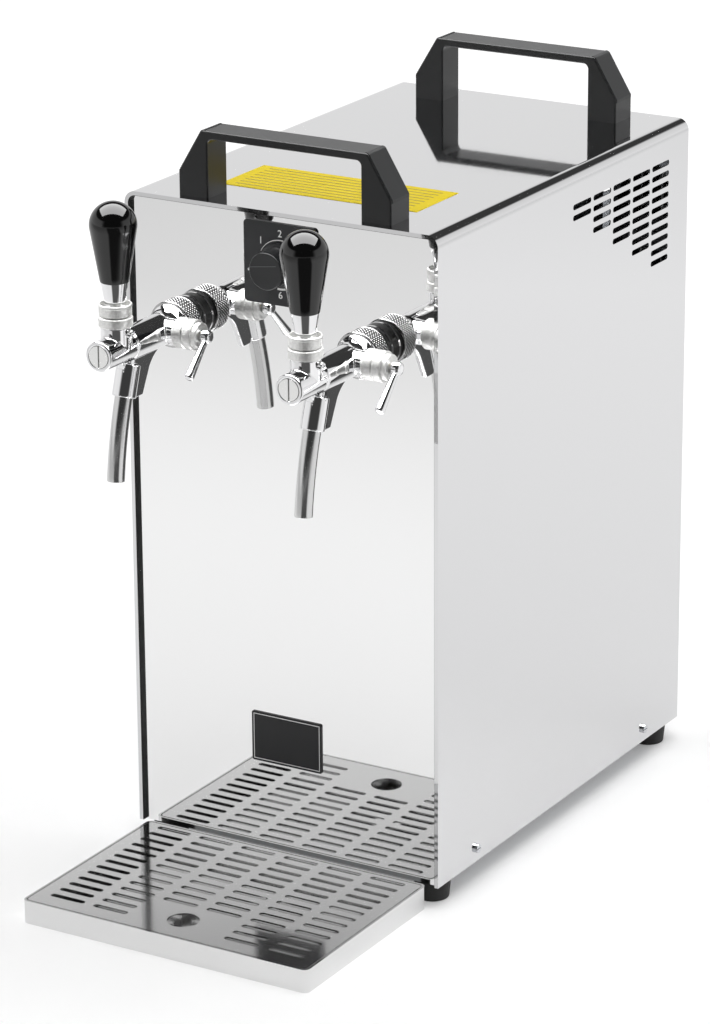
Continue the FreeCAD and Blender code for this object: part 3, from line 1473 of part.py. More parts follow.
def make_insulation():
    """Foam box and lid, with holes where the lines and pipes pass."""
    outer = box(("0 - box_half", "box_half"), ("box_y", "box_back"), ("floor_z", "box_top"))
    cavity = box(("0 - block_half", "block_half"), ("block_y", "block_back"), ("block_z", "box_top"))
    holes = []
    for x in INLET_X[:2]:
        holes.append(rod("Y", "line_radius + run_gap", "block_back", "box_back", x, "inlet_z"))
    for x, z in ((SUCTION_X, "suction_z"), ("drier_x", "suction_z - pipe_rise")):
        holes.append(rod("Y", "pipe_radius + run_gap", "block_back", "box_back", x, z))
    lid = box(("block_gap - block_half", "block_half - block_gap"),
              ("block_y + block_gap", "block_back - block_gap"), ("block_top", "box_top"))
    passes = [rod("Z", "line_radius + run_gap", "block_top", "box_top", x, "line_y") for x in TAP_X.values()]
    keep("insulation_box", group(cut(outer, cavity, *holes), cut(lid, *passes)))


def make_beer_lines():
    """Steel lines from the inlets to the block, and from the block up to the shanks."""
    bore = "line_radius - line_wall"
    lines = []
    for x in INLET_X[:2]:
        lines.append(tube([(x, "fitting_in + inlet_socket_depth - fit_gap", "inlet_z"),
                           (x, "block_back - line_socket + fit_gap", "inlet_z")],
                          "line_radius", bore, "line_bend"))
    for x in TAP_X.values():
        lines.append(tube([(x, "line_y", "block_top - line_socket + fit_gap"), (x, "line_y", "tap_z"),
                           (x, "panel_y + shank_inside - shank_socket + fit_gap", "tap_z")],
                          "line_radius", bore, "line_bend"))
    keep("beer_lines", group(*lines))


# Refrigeration set in the rear bay.

def make_compressor():
    shell = new_body("compressor_x", "compressor_y", "compressor_z")
    low = "compressor_dome / 2"
    mid = "compressor_height / 2"
    turned(shell, "Z", [
        (0, 0), ("compressor_radius - " + low, 0), ("compressor_radius", low, low),
        ("compressor_radius", mid), ("compressor_radius + compressor_rim", mid),
        ("compressor_radius + compressor_rim", mid + " + compressor_rim"),
        ("compressor_radius", mid + " + compressor_rim"),
        ("compressor_radius", "compressor_height - compressor_dome"),
        ("compressor_radius - compressor_dome", "compressor_height", "compressor_dome"),
        (0, "compressor_height"),
    ])
    half = "compressor_plate_half"
    plate_z = "floor_z + compressor_lift"
    plate = box(("compressor_x - " + half, "compressor_x + " + half),
                ("compressor_y - " + half, "compressor_y + " + half), (plate_z, "compressor_z"))
    reach = "(%s - grommet_radius)" % half
    grommets = []
    for way_x in (-1, 1):
        for way_y in (-1, 1):
            grommets.append(rod("Z", "grommet_radius", "floor_z", plate_z,
                                "compressor_x + (%d) * %s" % (way_x, reach),
                                "compressor_y + (%d) * %s" % (way_y, reach)))
    keep("compressor", group(fuse(shell, plate), *grommets))


def make_condenser():
    """A finned block: aluminium fins on rows of copper tube with return bends at both ends."""
    pieces = []
    fins = SIZES["condenser_fins"]
    span = "(2 * (condenser_half - condenser_tube - condenser_edge))"
    for i in range(fins):
        x = "%s * (%s) - condenser_fin / 2" % (span, i / (fins - 1) - 0.5)
        pieces.append(box((x, x + " + condenser_fin"), ("condenser_y", "shroud_y"),
                          ("condenser_bottom", "condenser_top")))
    rows = SIZES["condenser_rows"]
    pitch = "((condenser_top - condenser_bottom) / condenser_rows)"
    y = "shroud_y - condenser_depth / 2"
    end = "(condenser_half - condenser_tube)"
    for i in range(rows):
        z = "condenser_bottom + %s * %s" % (pitch, i + 0.5)
        pieces.append(rod("X", "condenser_tube", "0 - " + end, end, y, z))
    for i in range(rows - 1):
        way = "" if i % 2 else "0 - "
        low = "%s * %s + condenser_bottom - condenser_tube" % (pitch, i + 0.5)
        high = "%s * %s + condenser_bottom + condenser_tube" % (pitch, i + 1.5)
        pieces.append(rod("Z", "condenser_tube", low, high, way + end, y))
    feeds = (("drier_x", "condenser_bottom"), (DISCHARGE_X, "condenser_bottom"))
    for x, z in feeds:
        pieces.append(rod("Z", "condenser_tube", z, "%s + %s / 2" % (z, pitch), x, y))
    keep("condenser", fuse(*pieces))


def make_shroud():
    """A galvanised plate with the fan's opening and folded sides that stand on the base pan."""
    body = new_body()
    pad(body, "XZ", "shroud_y", "shroud_y + shroud_sheet",
        (rectangle, ("0 - shroud_half", "shroud_half"), ("shroud_bottom", "shroud_top")),
        (circle, 0, "fan_z", "fan_opening"))
    for way in (-1, 1):
        wall = ["(%d) * shroud_half" % way, "(%d) * (shroud_half - shroud_sheet)" % way]
        foot = ["(%d) * shroud_half" % way, "(%d) * (shroud_half - shroud_foot)" % way]
        if way > 0:
            wall.reverse()
            foot.reverse()
        pad(body, "XZ", "shroud_y", "shroud_y + shroud_flange", (rectangle, wall, ("floor_z", "shroud_top")))
        pad(body, "XZ", "shroud_y", "shroud_y + shroud_flange",
            (rectangle, foot, ("floor_z", "floor_z + shroud_sheet")))
    keep("fan_shroud", body)


def make_fan():
    """A motor on four arms that reach back from the shroud, and a five-bladed fan on its shaft."""
    motor = rod("Y", "motor_radius", "motor_y", "motor_y + motor_depth", 0, "fan_z")
    arm = "motor_arm / 2"
    reach = "(fan_opening + motor_arm)"
    sheet = "shroud_y + shroud_sheet"
    pieces = [motor]
    for way in (-1, 1):
        span = sorted(("(%d) * motor_radius / 2" % way, "(%d) * %s" % (way, reach)), key=number)
        pieces.append(box(span, ("motor_y", "motor_y + shroud_sheet * 2"), ("fan_z - " + arm, "fan_z + " + arm)))
        tip = sorted(("(%d) * %s" % (way, reach), "(%d) * (%s - shroud_sheet * 2)" % (way, reach)), key=number)
        pieces.append(box(tip, (sheet, "motor_y"), ("fan_z - " + arm, "fan_z + " + arm)))
    bore = rod("Y", "fan_shaft + shaft_gap", "motor_y", "motor_y + fan_shaft_depth", 0, "fan_z")
    keep("fan_motor", cut(fuse(*pieces), bore))
    fan = new_body(0, "fan_y + fan_hub_depth", "fan_z", (AXES["X"], "90"))
    pad(fan, "XY", 0, "fan_hub_depth", (circle, 0, 0, "fan_hub"))
    lean = "fan_pitch / 2"
    blade = pad(fan, "YZ", "fan_hub / 2", "fan_radius", (outline, [
        ("0 - fan_chord / 2", "fan_hub_depth / 2 - " + lean), ("0 - fan_chord / 2 + fan_blade",
                                                              "fan_hub_depth / 2 - " + lean),
        ("fan_chord / 2", "fan_hub_depth / 2 + " + lean),
        ("fan_chord / 2 - fan_blade", "fan_hub_depth / 2 + " + lean),
    ]))
    ring_ = fan.newObject("PartDesign::PolarPattern", "Blades")
    ring_.Originals = [blade]
    ring_.Axis = (origin(fan, "Z_Axis"), [""])
    ring_.Angle = 360
    ring_.setExpression("Occurrences", ex("fan_blades"))
    fan.Tip = ring_
    pad(fan, "XY", "0 - fan_gap - fan_shaft_depth + fit_gap", 0, (circle, 0, 0, "fan_shaft"))
    keep("fan_blades", fan)


def make_pipes():
    """Discharge, liquid and suction pipes, with the filter drier in the liquid line."""
    bore = "pipe_radius - line_wall"
    mid = "shroud_y - condenser_depth / 2"
    discharge = tube([(DISCHARGE_X, "compressor_y", "compressor_top"),
                      (DISCHARGE_X, "compressor_y", "suction_z + pipe_rise"),
                      (DISCHARGE_X, mid, "suction_z + pipe_rise"), (DISCHARGE_X, mid, "condenser_bottom")],
                     "pipe_radius", bore, "pipe_bend")
    suction = tube([(SUCTION_X, "compressor_y", "compressor_top"), (SUCTION_X, "compressor_y", "suction_z"),
                    (SUCTION_X, "block_back - line_socket + fit_gap", "suction_z")],
                   "pipe_radius", bore, "pipe_bend")
    drier_top = "(condenser_bottom - pipe_rise)"
    drier_low = "(%s - drier_length)" % drier_top
    inlet = tube([("drier_x", mid, "condenser_bottom"), ("drier_x", mid, drier_top)],
                 "pipe_radius", bore, "pipe_bend")
    low = "suction_z - pipe_rise"
    liquid = tube([("drier_x", mid, drier_low), ("drier_x", mid, low),
                   ("drier_x", "block_back - line_socket + fit_gap", low)],
                  "pipe_radius", bore, "pipe_bend")
    drier = rod("Z", "drier_radius", drier_low, drier_top, "drier_x", mid)
    keep("refrigerant_pipes", group(discharge, suction, inlet, liquid, drier))


def make_air_pump():
    """A small keg pump on rubber feet, and the hose to its outlet at the back."""
    body = new_body("pump_x", "pump_y", "pump_z")
    half_x = ("0 - pump_width / 2", "pump_width / 2")
    half_y = ("0 - pump_depth / 2", "pump_depth / 2")
    pad(body, "XY", 0, "pump_height", (rounded, half_x, half_y, "pump_edge"))
    rounding(body, "pump_edge / 2", in_plane("z", "pump_height"))
    pad(body, "XY", "pump_height - pump_edge", "pump_height + pump_nozzle", (circle, 0, 0, "hose_bore - thread_gap"))
    feet = []
    for way_x in (-1, 1):
        for way_y in (-1, 1):
            feet.append(rod("Z", "pump_edge", "floor_z", "pump_z",
                            "pump_x + (%d) * (pump_width / 2 - pump_edge)" % way_x,
                            "pump_y + (%d) * (pump_depth / 2 - pump_edge)" % way_y))
    keep("air_pump", group(body, *feet))
    hose = tube([("pump_x", "pump_y", "pump_top + fit_gap"), ("pump_x", "pump_y", "inlet_z"),
                 ("pump_x", "fitting_in - fit_gap", "inlet_z")], "hose_radius", "hose_bore", "hose_bend")
    keep("air_hose", hose)


# Rear fittings: two push-in beer inlets, the air outlet, the cable gland and the mains switch.

def fitting_outline(bore, socket_radius, end):
    """Half section of a bulkhead fitting about its own axis, measured from the panel's outer face."""
    inside = "fitting_in - rear_face"
    return [
        (bore, inside + " + inlet_socket_depth"), ("line_radius + thread_gap", inside + " + inlet_socket_depth"),
        ("line_radius + thread_gap", inside), ("inlet_thread_radius", inside), ("inlet_thread_radius", 0),
        ("inlet_flange_radius", 0), ("inlet_flange_radius", "inlet_flange"), ("inlet_radius", "inlet_flange"),
        ("inlet_radius", end), (socket_radius, end), (socket_radius, end + " - inlet_socket_depth"),
        (bore, end + " - inlet_socket_depth"),
    ]


def make_inlets():
    pieces = []
    end = "fitting_end - rear_face"
    for x in INLET_X[:2]:
        body = new_body(x, "rear_face", "inlet_z")
        turned(body, "Y", fitting_outline("line_radius - line_wall", "inlet_socket", end))
        pieces.append(body)
    outlet = new_body(INLET_X[2], "rear_face", "inlet_z")
    inside = "fitting_in - rear_face"
    turned(outlet, "Y", [
        ("hose_bore - line_wall", inside), ("inlet_thread_radius", inside), ("inlet_thread_radius", 0),
        ("inlet_flange_radius", 0), ("inlet_flange_radius", "inlet_flange"),
        ("outlet_radius", "inlet_flange"), ("outlet_radius", end + " - inlet_flange"),
        ("outlet_radius - line_wall", end),
        ("hose_bore - line_wall", end),
    ])
    pieces.append(outlet)
    for x in INLET_X:
        low = "rear_panel_y - inlet_nut_height"
        hole = rod("Y", "inlet_thread_radius + thread_gap", low, "rear_panel_y", x, "inlet_z")
        pieces.append(cut(nut("Y", "inlet_nut_radius", low, "rear_panel_y", x, "inlet_z"), hole))
    keep("inlet_fittings", group(*pieces))


def make_collets():
    """Collets that are pressed in to let the tube go."""
    for side, x in zip(TAP_X, INLET_X):
        body = new_body(x, "fitting_end", "inlet_z")
        turned(body, "Y", [
            ("inlet_bore", "collet_stroke + fit_gap - inlet_socket_depth"),
            ("collet_radius", "collet_stroke + fit_gap - inlet_socket_depth"),
            ("collet_radius", "collet_stroke"), ("collet_flange_radius", "collet_stroke"),
            ("collet_flange_radius", "collet_stroke + collet_flange"),
            ("inlet_bore", "collet_stroke + collet_flange"),
        ])
        keep(side + "_inlet_collet", body)


def make_gland():
    body = new_body("0 - gland_x", "rear_face", "gland_z")
    neck = "gland_radius - pan_sheet"
    inside = "0 - panel_sheet - gland_inside"
    turned(body, "Y", [
        ("gland_bore", inside), (neck, inside), (neck, 0), ("gland_radius", 0), ("gland_radius", "gland_hex"),
        ("gland_radius", "gland_cap - gland_edge"), ("gland_radius - gland_edge", "gland_cap", "gland_edge"),
        ("gland_bore", "gland_cap"),
    ])
    hexes = []
    for low, high, face in (("rear_face", "rear_face + gland_hex", neck),
                            ("rear_panel_y - gland_hex", "rear_panel_y", neck + " + thread_gap")):
        prism = nut("Y", "gland_hex_radius", low, high, "0 - gland_x", "gland_z")
        hexes.append(cut(prism, rod("Y", face, low, high, "0 - gland_x", "gland_z")))
    keep("cable_gland", group(fuse(body, hexes[0]), hexes[1]))


def make_switch():
    """A snap-in rocker switch: an open frame with pivot holes, and the rocker on its pins."""
    half_w = "(switch_width / 2 - fit_gap)"
    half_h = "(switch_height / 2 - fit_gap)"
    face = "(rear_face + switch_bezel_depth)"
    bezel = box(("switch_x - switch_width / 2 - switch_bezel", "switch_x + switch_width / 2 + switch_bezel"),
                ("rear_face", face),
                ("switch_z - switch_height / 2 - switch_bezel", "switch_z + switch_height / 2 + switch_bezel"))
    case = box(("switch_x - " + half_w, "switch_x + " + half_w), ("rear_face - switch_depth", "rear_face"),
               ("switch_z - " + half_h, "switch_z + " + half_h))
    inner_w = "(%s - switch_wall)" % half_w
    inner_h = "(%s - switch_wall)" % half_h
    well = box(("switch_x - " + inner_w, "switch_x + " + inner_w),
               ("rear_face - switch_depth + switch_wall", face),
               ("switch_z - " + inner_h, "switch_z + " + inner_h))
    axis_y = "(rear_face - switch_bezel_depth)"
    holes = rod("X", "rocker_pin + shaft_gap", "switch_x - " + half_w, "switch_x + " + half_w, axis_y, "switch_z")
    keep("switch_frame", cut(fuse(bezel, case), well, holes))
    rocker_w = "(%s - run_gap)" % inner_w
    rocker_h = "(%s - 3 * run_gap)" % inner_h
    body = new_body("switch_x", axis_y, "switch_z", (AXES["X"], "0 - rocker_tilt"))
    top = "(2 * switch_bezel_depth + rocker_proud)"
    base = "(2 * switch_bezel_depth)"
    pad(body, "YZ", "0 - " + rocker_w, rocker_w, (outline, [
        ("0 - " + base, "0 - rocker_pin * 2"), (base, "0 - " + rocker_h), (top, "0 - " + rocker_h),
        (top, rocker_h, "rocker_crown"), (base, rocker_h), ("0 - " + base, "rocker_pin * 2"),
    ]))
    pad(body, "YZ", "run_gap - " + half_w, half_w + " - run_gap", (circle, 0, 0, "rocker_pin"))
    keep("switch_rocker", body)


def make_all():
    make_casing()
    make_base_plate()
    make_front_panel()
    make_rear_panel()
    make_feet()
    for name, front in zip(("front_grip", "rear_grip"), GRIP_FRONTS):
        make_grip(name, front)
    make_grip_caps()
    make_grip_bolts()
    make_casing_screws()
    make_dial_plate()
    make_dial_knob()
    make_thermostat()
    make_plates()
    make_drip_tray()
    make_drip_grate()
    make_taps()
    make_cold_block()
    make_insulation()
    make_beer_lines()
    make_compressor()
    make_condenser()
    make_shroud()
    make_fan()
    make_pipes()
    make_air_pump()
    make_inlets()
    make_collets()
    make_gland()
    make_switch()
    doc.recompute()


def check():
    """Stop if a feature failed, a cut removed nothing, or a piece is empty or broken."""
    faults = []
    for obj in doc.Objects:
        if "Invalid" in obj.State or "Error" in obj.State:
            faults.append("%s (%s): %s" % (obj.Name, obj.TypeId, obj.State))
        if obj.TypeId in ("PartDesign::Pocket", "PartDesign::Groove"):
            if abs(obj.BaseFeature.Shape.Volume - obj.Shape.Volume) < 1e-6:
                faults.append("%s cut nothing" % obj.Name)
    for obj in nodes:
        shape = obj.Shape
        if shape.isNull() or not shape.isValid() or not shape.Solids:
            faults.append("%s has no sound solid" % obj.Label)
    if faults:
        raise RuntimeError("\n".join(faults))


make_all()
check()
for obj in nodes:
    obj.Shape.exportStep("parts/%s.step" % obj.Label)
    print("%-22s %2d solids %10.1f mm3" % (obj.Label, len(obj.Shape.Solids), obj.Shape.Volume))
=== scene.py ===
import json
import math
import bmesh
import bpy
import numpy as np
from mathutils import Matrix, Vector


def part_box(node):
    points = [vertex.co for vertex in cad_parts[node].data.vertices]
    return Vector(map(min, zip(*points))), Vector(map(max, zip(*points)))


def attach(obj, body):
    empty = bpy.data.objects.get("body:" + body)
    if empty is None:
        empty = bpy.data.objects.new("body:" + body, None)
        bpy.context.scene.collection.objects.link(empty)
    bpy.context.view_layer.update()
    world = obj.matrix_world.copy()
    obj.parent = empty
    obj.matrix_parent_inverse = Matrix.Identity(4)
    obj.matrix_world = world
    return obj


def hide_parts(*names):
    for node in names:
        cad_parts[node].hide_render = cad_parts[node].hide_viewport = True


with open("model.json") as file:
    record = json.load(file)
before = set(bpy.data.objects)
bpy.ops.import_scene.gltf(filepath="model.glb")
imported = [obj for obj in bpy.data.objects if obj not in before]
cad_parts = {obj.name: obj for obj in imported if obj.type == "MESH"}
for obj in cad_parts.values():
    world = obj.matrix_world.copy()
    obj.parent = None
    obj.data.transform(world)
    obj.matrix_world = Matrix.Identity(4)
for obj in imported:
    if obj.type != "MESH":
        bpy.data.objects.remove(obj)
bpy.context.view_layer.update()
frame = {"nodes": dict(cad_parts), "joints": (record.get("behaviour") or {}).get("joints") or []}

MM = 0.001


# Studio. A pale table that runs on to a white backdrop, soft lamps overhead and in front, and a dark
# room behind the camera, which is what gives polished metal its black bands. The camera stands in
# front of the cooler, to its right, and looks down on it.

def linear(colour):
    """The linear colour of an sRGB hex value: above a small toe, ((c + 0.055) / 1.055) to the power 2.4."""
    parts = np.array([int(colour[i:i + 2], 16) / 255 for i in (1, 3, 5)])
    return tuple(np.where(parts > 0.04045, ((parts + 0.055) / 1.055) ** 2.4, parts / 12.92)) + (1.0,)


def node(tree, kind, inputs=None, **settings):
    """Add a shader node; inputs are the values of its sockets, or the sockets that feed them."""
    new = tree.nodes.new("ShaderNode" + kind)
    for name, value in settings.items():
        setattr(new, name, value)
    for name, value in (inputs or {}).items():
        if isinstance(value, bpy.types.NodeSocket):
            tree.links.new(value, new.inputs[name])
        else:
            new.inputs[name].default_value = value
    return new


def product(tree, one, other):
    """One value times another."""
    return node(tree, "Math", {0: one, 1: other}, operation="MULTIPLY").outputs[0]


def eased_step(tree, value, span, result=(0.0, 1.0)):
    """Go from one result to the other along an S curve, while the value crosses a span."""
    return node(tree, "MapRange", {"Value": value, "From Min": span[0], "From Max": span[1],
                                   "To Min": result[0], "To Max": result[1]},
                interpolation_type="SMOOTHSTEP").outputs[0]


CAMERA_PLACE = Vector((1.5250, -2.5747, 1.2846))
CAMERA_TURN = math.radians(30.786)
CAMERA_FALL = math.radians(19.085)
CAMERA_ROLL = math.radians(-0.395)
CAMERA_LENS = 148.71

camera = bpy.data.objects.new("camera", bpy.data.cameras.new("camera"))
camera.data.lens = CAMERA_LENS
camera.data.clip_end = 50
aim = (Matrix.Rotation(CAMERA_TURN, 4, "Z") @ Matrix.Rotation(math.pi / 2 - CAMERA_FALL, 4, "X")
       @ Matrix.Rotation(CAMERA_ROLL, 4, "Z"))
camera.matrix_world = Matrix.Translation(CAMERA_PLACE) @ aim
bpy.context.scene.collection.objects.link(camera)
bpy.context.scene.camera = camera
bpy.context.scene.view_settings.view_transform = "Standard"

LENS_WAY = (math.sin(CAMERA_TURN), -math.cos(CAMERA_TURN), 0.0)
ACROSS_WAY = (math.cos(CAMERA_TURN), math.sin(CAMERA_TURN), 0.0)
ROOM_LIGHT = 0.62
SOFTBOX_GLOW = 8.0
SOFTBOX_LOW = 0.05
SOFTBOX_WINDOW = ((LENS_WAY, -0.265, 0.685), (ACROSS_WAY, 0.0, 1.05))
ROOM_DARK = 0.05
ROOM_STOPS = ((0.0, 1.0), (0.5, 1.0), (0.695, 0.86), (0.71, 0.5), (0.73, ROOM_DARK), (0.9, ROOM_DARK),
              (1.0, 0.12))
DARK_SECTOR = (0.5, 0.8)
DARK_RISE = (-0.12, 0.08)


def make_room():
    """White to the camera; to a reflection a white backdrop, a dark room and a bright softbox above."""
    world = bpy.data.worlds.new("studio_room")
    bpy.context.scene.world = world
    world.cycles.sampling_method = "NONE"
    world.use_nodes = True
    tree = world.node_tree
    tree.nodes.clear()
    way = node(tree, "TexCoord").outputs["Generated"]
    part = node(tree, "SeparateXYZ", {0: way})
    height = node(tree, "MapRange", {"Value": part.outputs[2], "From Min": -1.0, "From Max": 1.0})
    wall = node(tree, "ValToRGB", {"Fac": height.outputs[0]})
    ramp = wall.color_ramp.elements
    while len(ramp) < len(ROOM_STOPS):
        ramp.new(0.5)
    for stop, (place, grey) in zip(ramp, ROOM_STOPS):
        stop.position = place
        stop.color = (grey, grey, grey, 1)
    flat = node(tree, "CombineXYZ", {0: part.outputs[0], 1: part.outputs[1]})
    unit = node(tree, "VectorMath", {0: flat.outputs[0]}, operation="NORMALIZE")
    facing = node(tree, "VectorMath", {0: unit.outputs[0], 1: LENS_WAY}, operation="DOT_PRODUCT")
    dark = product(tree, eased_step(tree, facing.outputs["Value"], DARK_SECTOR),
                   eased_step(tree, part.outputs[2], DARK_RISE))
    dim = (ROOM_DARK, ROOM_DARK, ROOM_DARK, 1)
    room = node(tree, "Mix", {0: dark, 6: wall.outputs[0], 7: dim}, data_type="RGBA")
    over = node(tree, "Math", {0: part.outputs[2], 1: SOFTBOX_LOW}, operation="GREATER_THAN")
    inside = over.outputs[0]
    for line, centre, half in SOFTBOX_WINDOW:
        reach = node(tree, "VectorMath", {0: way, 1: line}, operation="DOT_PRODUCT")
        lean = node(tree, "Math", {0: reach.outputs["Value"], 1: part.outputs[2]}, operation="DIVIDE")
        gap = node(tree, "Math", {0: lean.outputs[0], 1: centre, 2: half}, operation="COMPARE")
        inside = product(tree, inside, gap.outputs[0])
    glow = (SOFTBOX_GLOW, SOFTBOX_GLOW, SOFTBOX_GLOW, 1)
    seen = node(tree, "Mix", {0: inside, 6: room.outputs[2], 7: glow}, data_type="RGBA")
    path = node(tree, "LightPath")
    plain = node(tree, "Background", {"Color": (1, 1, 1, 1), "Strength": ROOM_LIGHT})
    mirrored = node(tree, "Background", {"Color": seen.outputs[2], "Strength": 1.0})
    white = node(tree, "Background", {"Color": (1, 1, 1, 1), "Strength": 1.0})
    open_ray = node(tree, "Math", {0: path.outputs["Is Camera Ray"], 1: path.outputs["Is Transmission Ray"]},
                    operation="MAXIMUM")
    first = node(tree, "MixShader", {0: path.outputs["Is Glossy Ray"], 1: plain.outputs[0],
                                     2: mirrored.outputs[0]})
    last = node(tree, "MixShader", {0: open_ray.outputs[0], 1: first.outputs[0], 2: white.outputs[0]})
    node(tree, "OutputWorld", {"Surface": last.outputs[0]})


make_room()

TABLE_HALF = 14.0
TABLE_LIFT = (0.16, 0.5)
LIFT_REACH = (0.35, 1.6)
FRONT_SHARE = (0.65, 0.15)
FRONT_REACH = (-0.65, -1.45)
VOID_REACH = (0.55, 0.85)
VOID_SECTOR = (0.84, 0.92)
VOID_GLOW = 0.1


def make_table():
    """A matt white table: it takes shadows, and glows a little for the camera and for reflections.
    To reflections, a wedge of it on the camera's side looks dark from over half a metre out."""
    mesh = bpy.data.meshes.new("table")
    corners = np.array([(-1, -1), (1, -1), (1, 1), (-1, 1)]) * TABLE_HALF
    mesh.from_pydata(np.pad(corners, ((0, 0), (0, 1))).tolist(), [], [(0, 1, 2, 3)])
    table = bpy.data.objects.new("table", mesh)
    bpy.context.scene.collection.objects.link(table)
    laminate = bpy.data.materials.new("matt_white_laminate")
    laminate.use_nodes = True
    tree = laminate.node_tree
    tree.nodes.clear()
    spot = node(tree, "TexCoord").outputs["Object"]
    place = node(tree, "SeparateXYZ", {0: spot})
    away = node(tree, "VectorMath", {0: spot}, operation="LENGTH")
    amount = node(tree, "MapRange", {"Value": away.outputs["Value"], "From Min": LIFT_REACH[0],
                                     "From Max": LIFT_REACH[1], "To Min": TABLE_LIFT[0],
                                     "To Max": TABLE_LIFT[1]})
    front = eased_step(tree, place.outputs[1], FRONT_REACH, FRONT_SHARE)
    path = node(tree, "LightPath")
    direct = node(tree, "Math", {0: path.outputs["Is Camera Ray"], 1: path.outputs["Is Transmission Ray"]},
                  operation="MAXIMUM")
    mirrored = product(tree, path.outputs["Is Glossy Ray"], front)
    seen = node(tree, "Math", {0: direct.outputs[0], 1: mirrored}, operation="MAXIMUM")
    lift = product(tree, seen.outputs[0], amount.outputs[0])
    glow = node(tree, "Emission", {"Color": (1, 1, 1, 1), "Strength": lift})
    matt = node(tree, "BsdfDiffuse", {"Color": linear("#EDEDED")})
    both = node(tree, "AddShader", {0: matt.outputs[0], 1: glow.outputs[0]})
    flat = node(tree, "CombineXYZ", {0: place.outputs[0], 1: place.outputs[1]})
    ahead = node(tree, "VectorMath", {0: flat.outputs[0], 1: LENS_WAY}, operation="DOT_PRODUCT")
    unit = node(tree, "VectorMath", {0: flat.outputs[0]}, operation="NORMALIZE")
    facing = node(tree, "VectorMath", {0: unit.outputs[0], 1: LENS_WAY}, operation="DOT_PRODUCT")
    gap = product(tree, eased_step(tree, ahead.outputs["Value"], VOID_REACH),
                  eased_step(tree, facing.outputs["Value"], VOID_SECTOR))
    mirrored_gap = product(tree, gap, path.outputs["Is Glossy Ray"])
    void = node(tree, "Emission", {"Color": (1, 1, 1, 1), "Strength": VOID_GLOW})
    last = node(tree, "MixShader", {0: mirrored_gap, 1: both.outputs[0], 2: void.outputs[0]})
    node(tree, "OutputMaterial", {"Surface": last.outputs[0]})
    mesh.materials.append(laminate)


make_table()

LAMP_AIM = Vector((0, 0, 0.25))


def make_lamp(name, place, size, watts):
    """A soft rectangular lamp that points at the middle of the cooler and isn't mirrored in it."""
    lamp = bpy.data.lights.new(name, "AREA")
    lamp.shape = "RECTANGLE"
    lamp.size, lamp.size_y = size
    lamp.energy = watts
    holder = bpy.data.objects.new(name, lamp)
    holder.location = place
    holder.rotation_euler = (LAMP_AIM - Vector(place)).to_track_quat("-Z", "Y").to_euler()
    holder.visible_glossy = False
    bpy.context.scene.collection.objects.link(holder)


make_lamp("overhead_softbox", (0.35, 0.1, 2.4), (2.2, 1.8), 27)
make_lamp("front_softbox", (0.6, -2.2, 1.3), (1.2, 1.2), 3)


# Casing, rear panel and front panel: stainless sheet. The casing is bright-rolled and lightly brushed,
# so that it mirrors the grips with a soft edge; the front panel is polished like a mirror. The base
# pan and the fan's shroud are galvanised.

def coat(name):
    """A new material; gives it with its tree and its surface shader."""
    made = bpy.data.materials.new(name)
    made.use_nodes = True
    tree = made.node_tree
    return made, tree, tree.nodes["Principled BSDF"]


def paint(material, *names):
    """Give CAD pieces a material."""
    for name in names:
        mesh = frame["nodes"][name].data
        mesh.materials.clear()
        mesh.materials.append(material)


def metal_sheet(name, colour, roughness, grain, depth, stretch=(1, 1, 1), spread=0.03):
    """A metal surface: streaks of a grain size in millimetres change its gloss and slope a little."""
    made, tree, shader = coat(name)
    place = node(tree, "Mapping", {0: node(tree, "TexCoord").outputs["Object"], "Scale": stretch})
    streak = node(tree, "TexNoise", {"Vector": place.outputs[0], "Scale": 1 / (grain * MM), "Detail": 3.0})
    gloss = node(tree, "MapRange", {"Value": streak.outputs[0], "From Min": 0.3, "From Max": 0.7,
                                    "To Min": roughness - spread, "To Max": roughness + spread})
    slope = node(tree, "Bump", {"Height": streak.outputs[0], "Strength": 0.5, "Distance": depth * MM})
    shader.inputs["Base Color"].default_value = linear(colour)
    shader.inputs["Metallic"].default_value = 1.0
    tree.links.new(gloss.outputs[0], shader.inputs["Roughness"])
    tree.links.new(slope.outputs[0], shader.inputs["Normal"])
    return made


# The casing's streaks are 0.6 mm wide and run fifty times as far along its depth.
brushed_steel = metal_sheet("bright_rolled_stainless_sheet", "#D9D9DA", 0.045, 0.6, 0.0002, (1, 0.02, 1),
                            0.015)
mirror_steel = metal_sheet("mirror_polished_stainless_sheet", "#F3F3F3", 0.02, 60, 0.004, spread=0.004)
zinc_steel = metal_sheet("galvanised_steel_sheet", "#B9BDC2", 0.42, 9, 0.01, spread=0.1)
screw_steel = metal_sheet("zinc_plated_screw_steel", "#CDCFD2", 0.22, 1.5, 0.002)
paint(brushed_steel, "casing", "rear_panel")
paint(mirror_steel, "front_panel")
paint(zinc_steel, "base_plate", "fan_shroud")
paint(screw_steel, "casing_screws", "grip_screws", "thermostat_spindle")


# Carrying grips, their snap-in covers and the feet: nylon and rubber, moulded with a fine spark texture
# that spreads their shine.

CLOUD_SIZE = 22 * MM


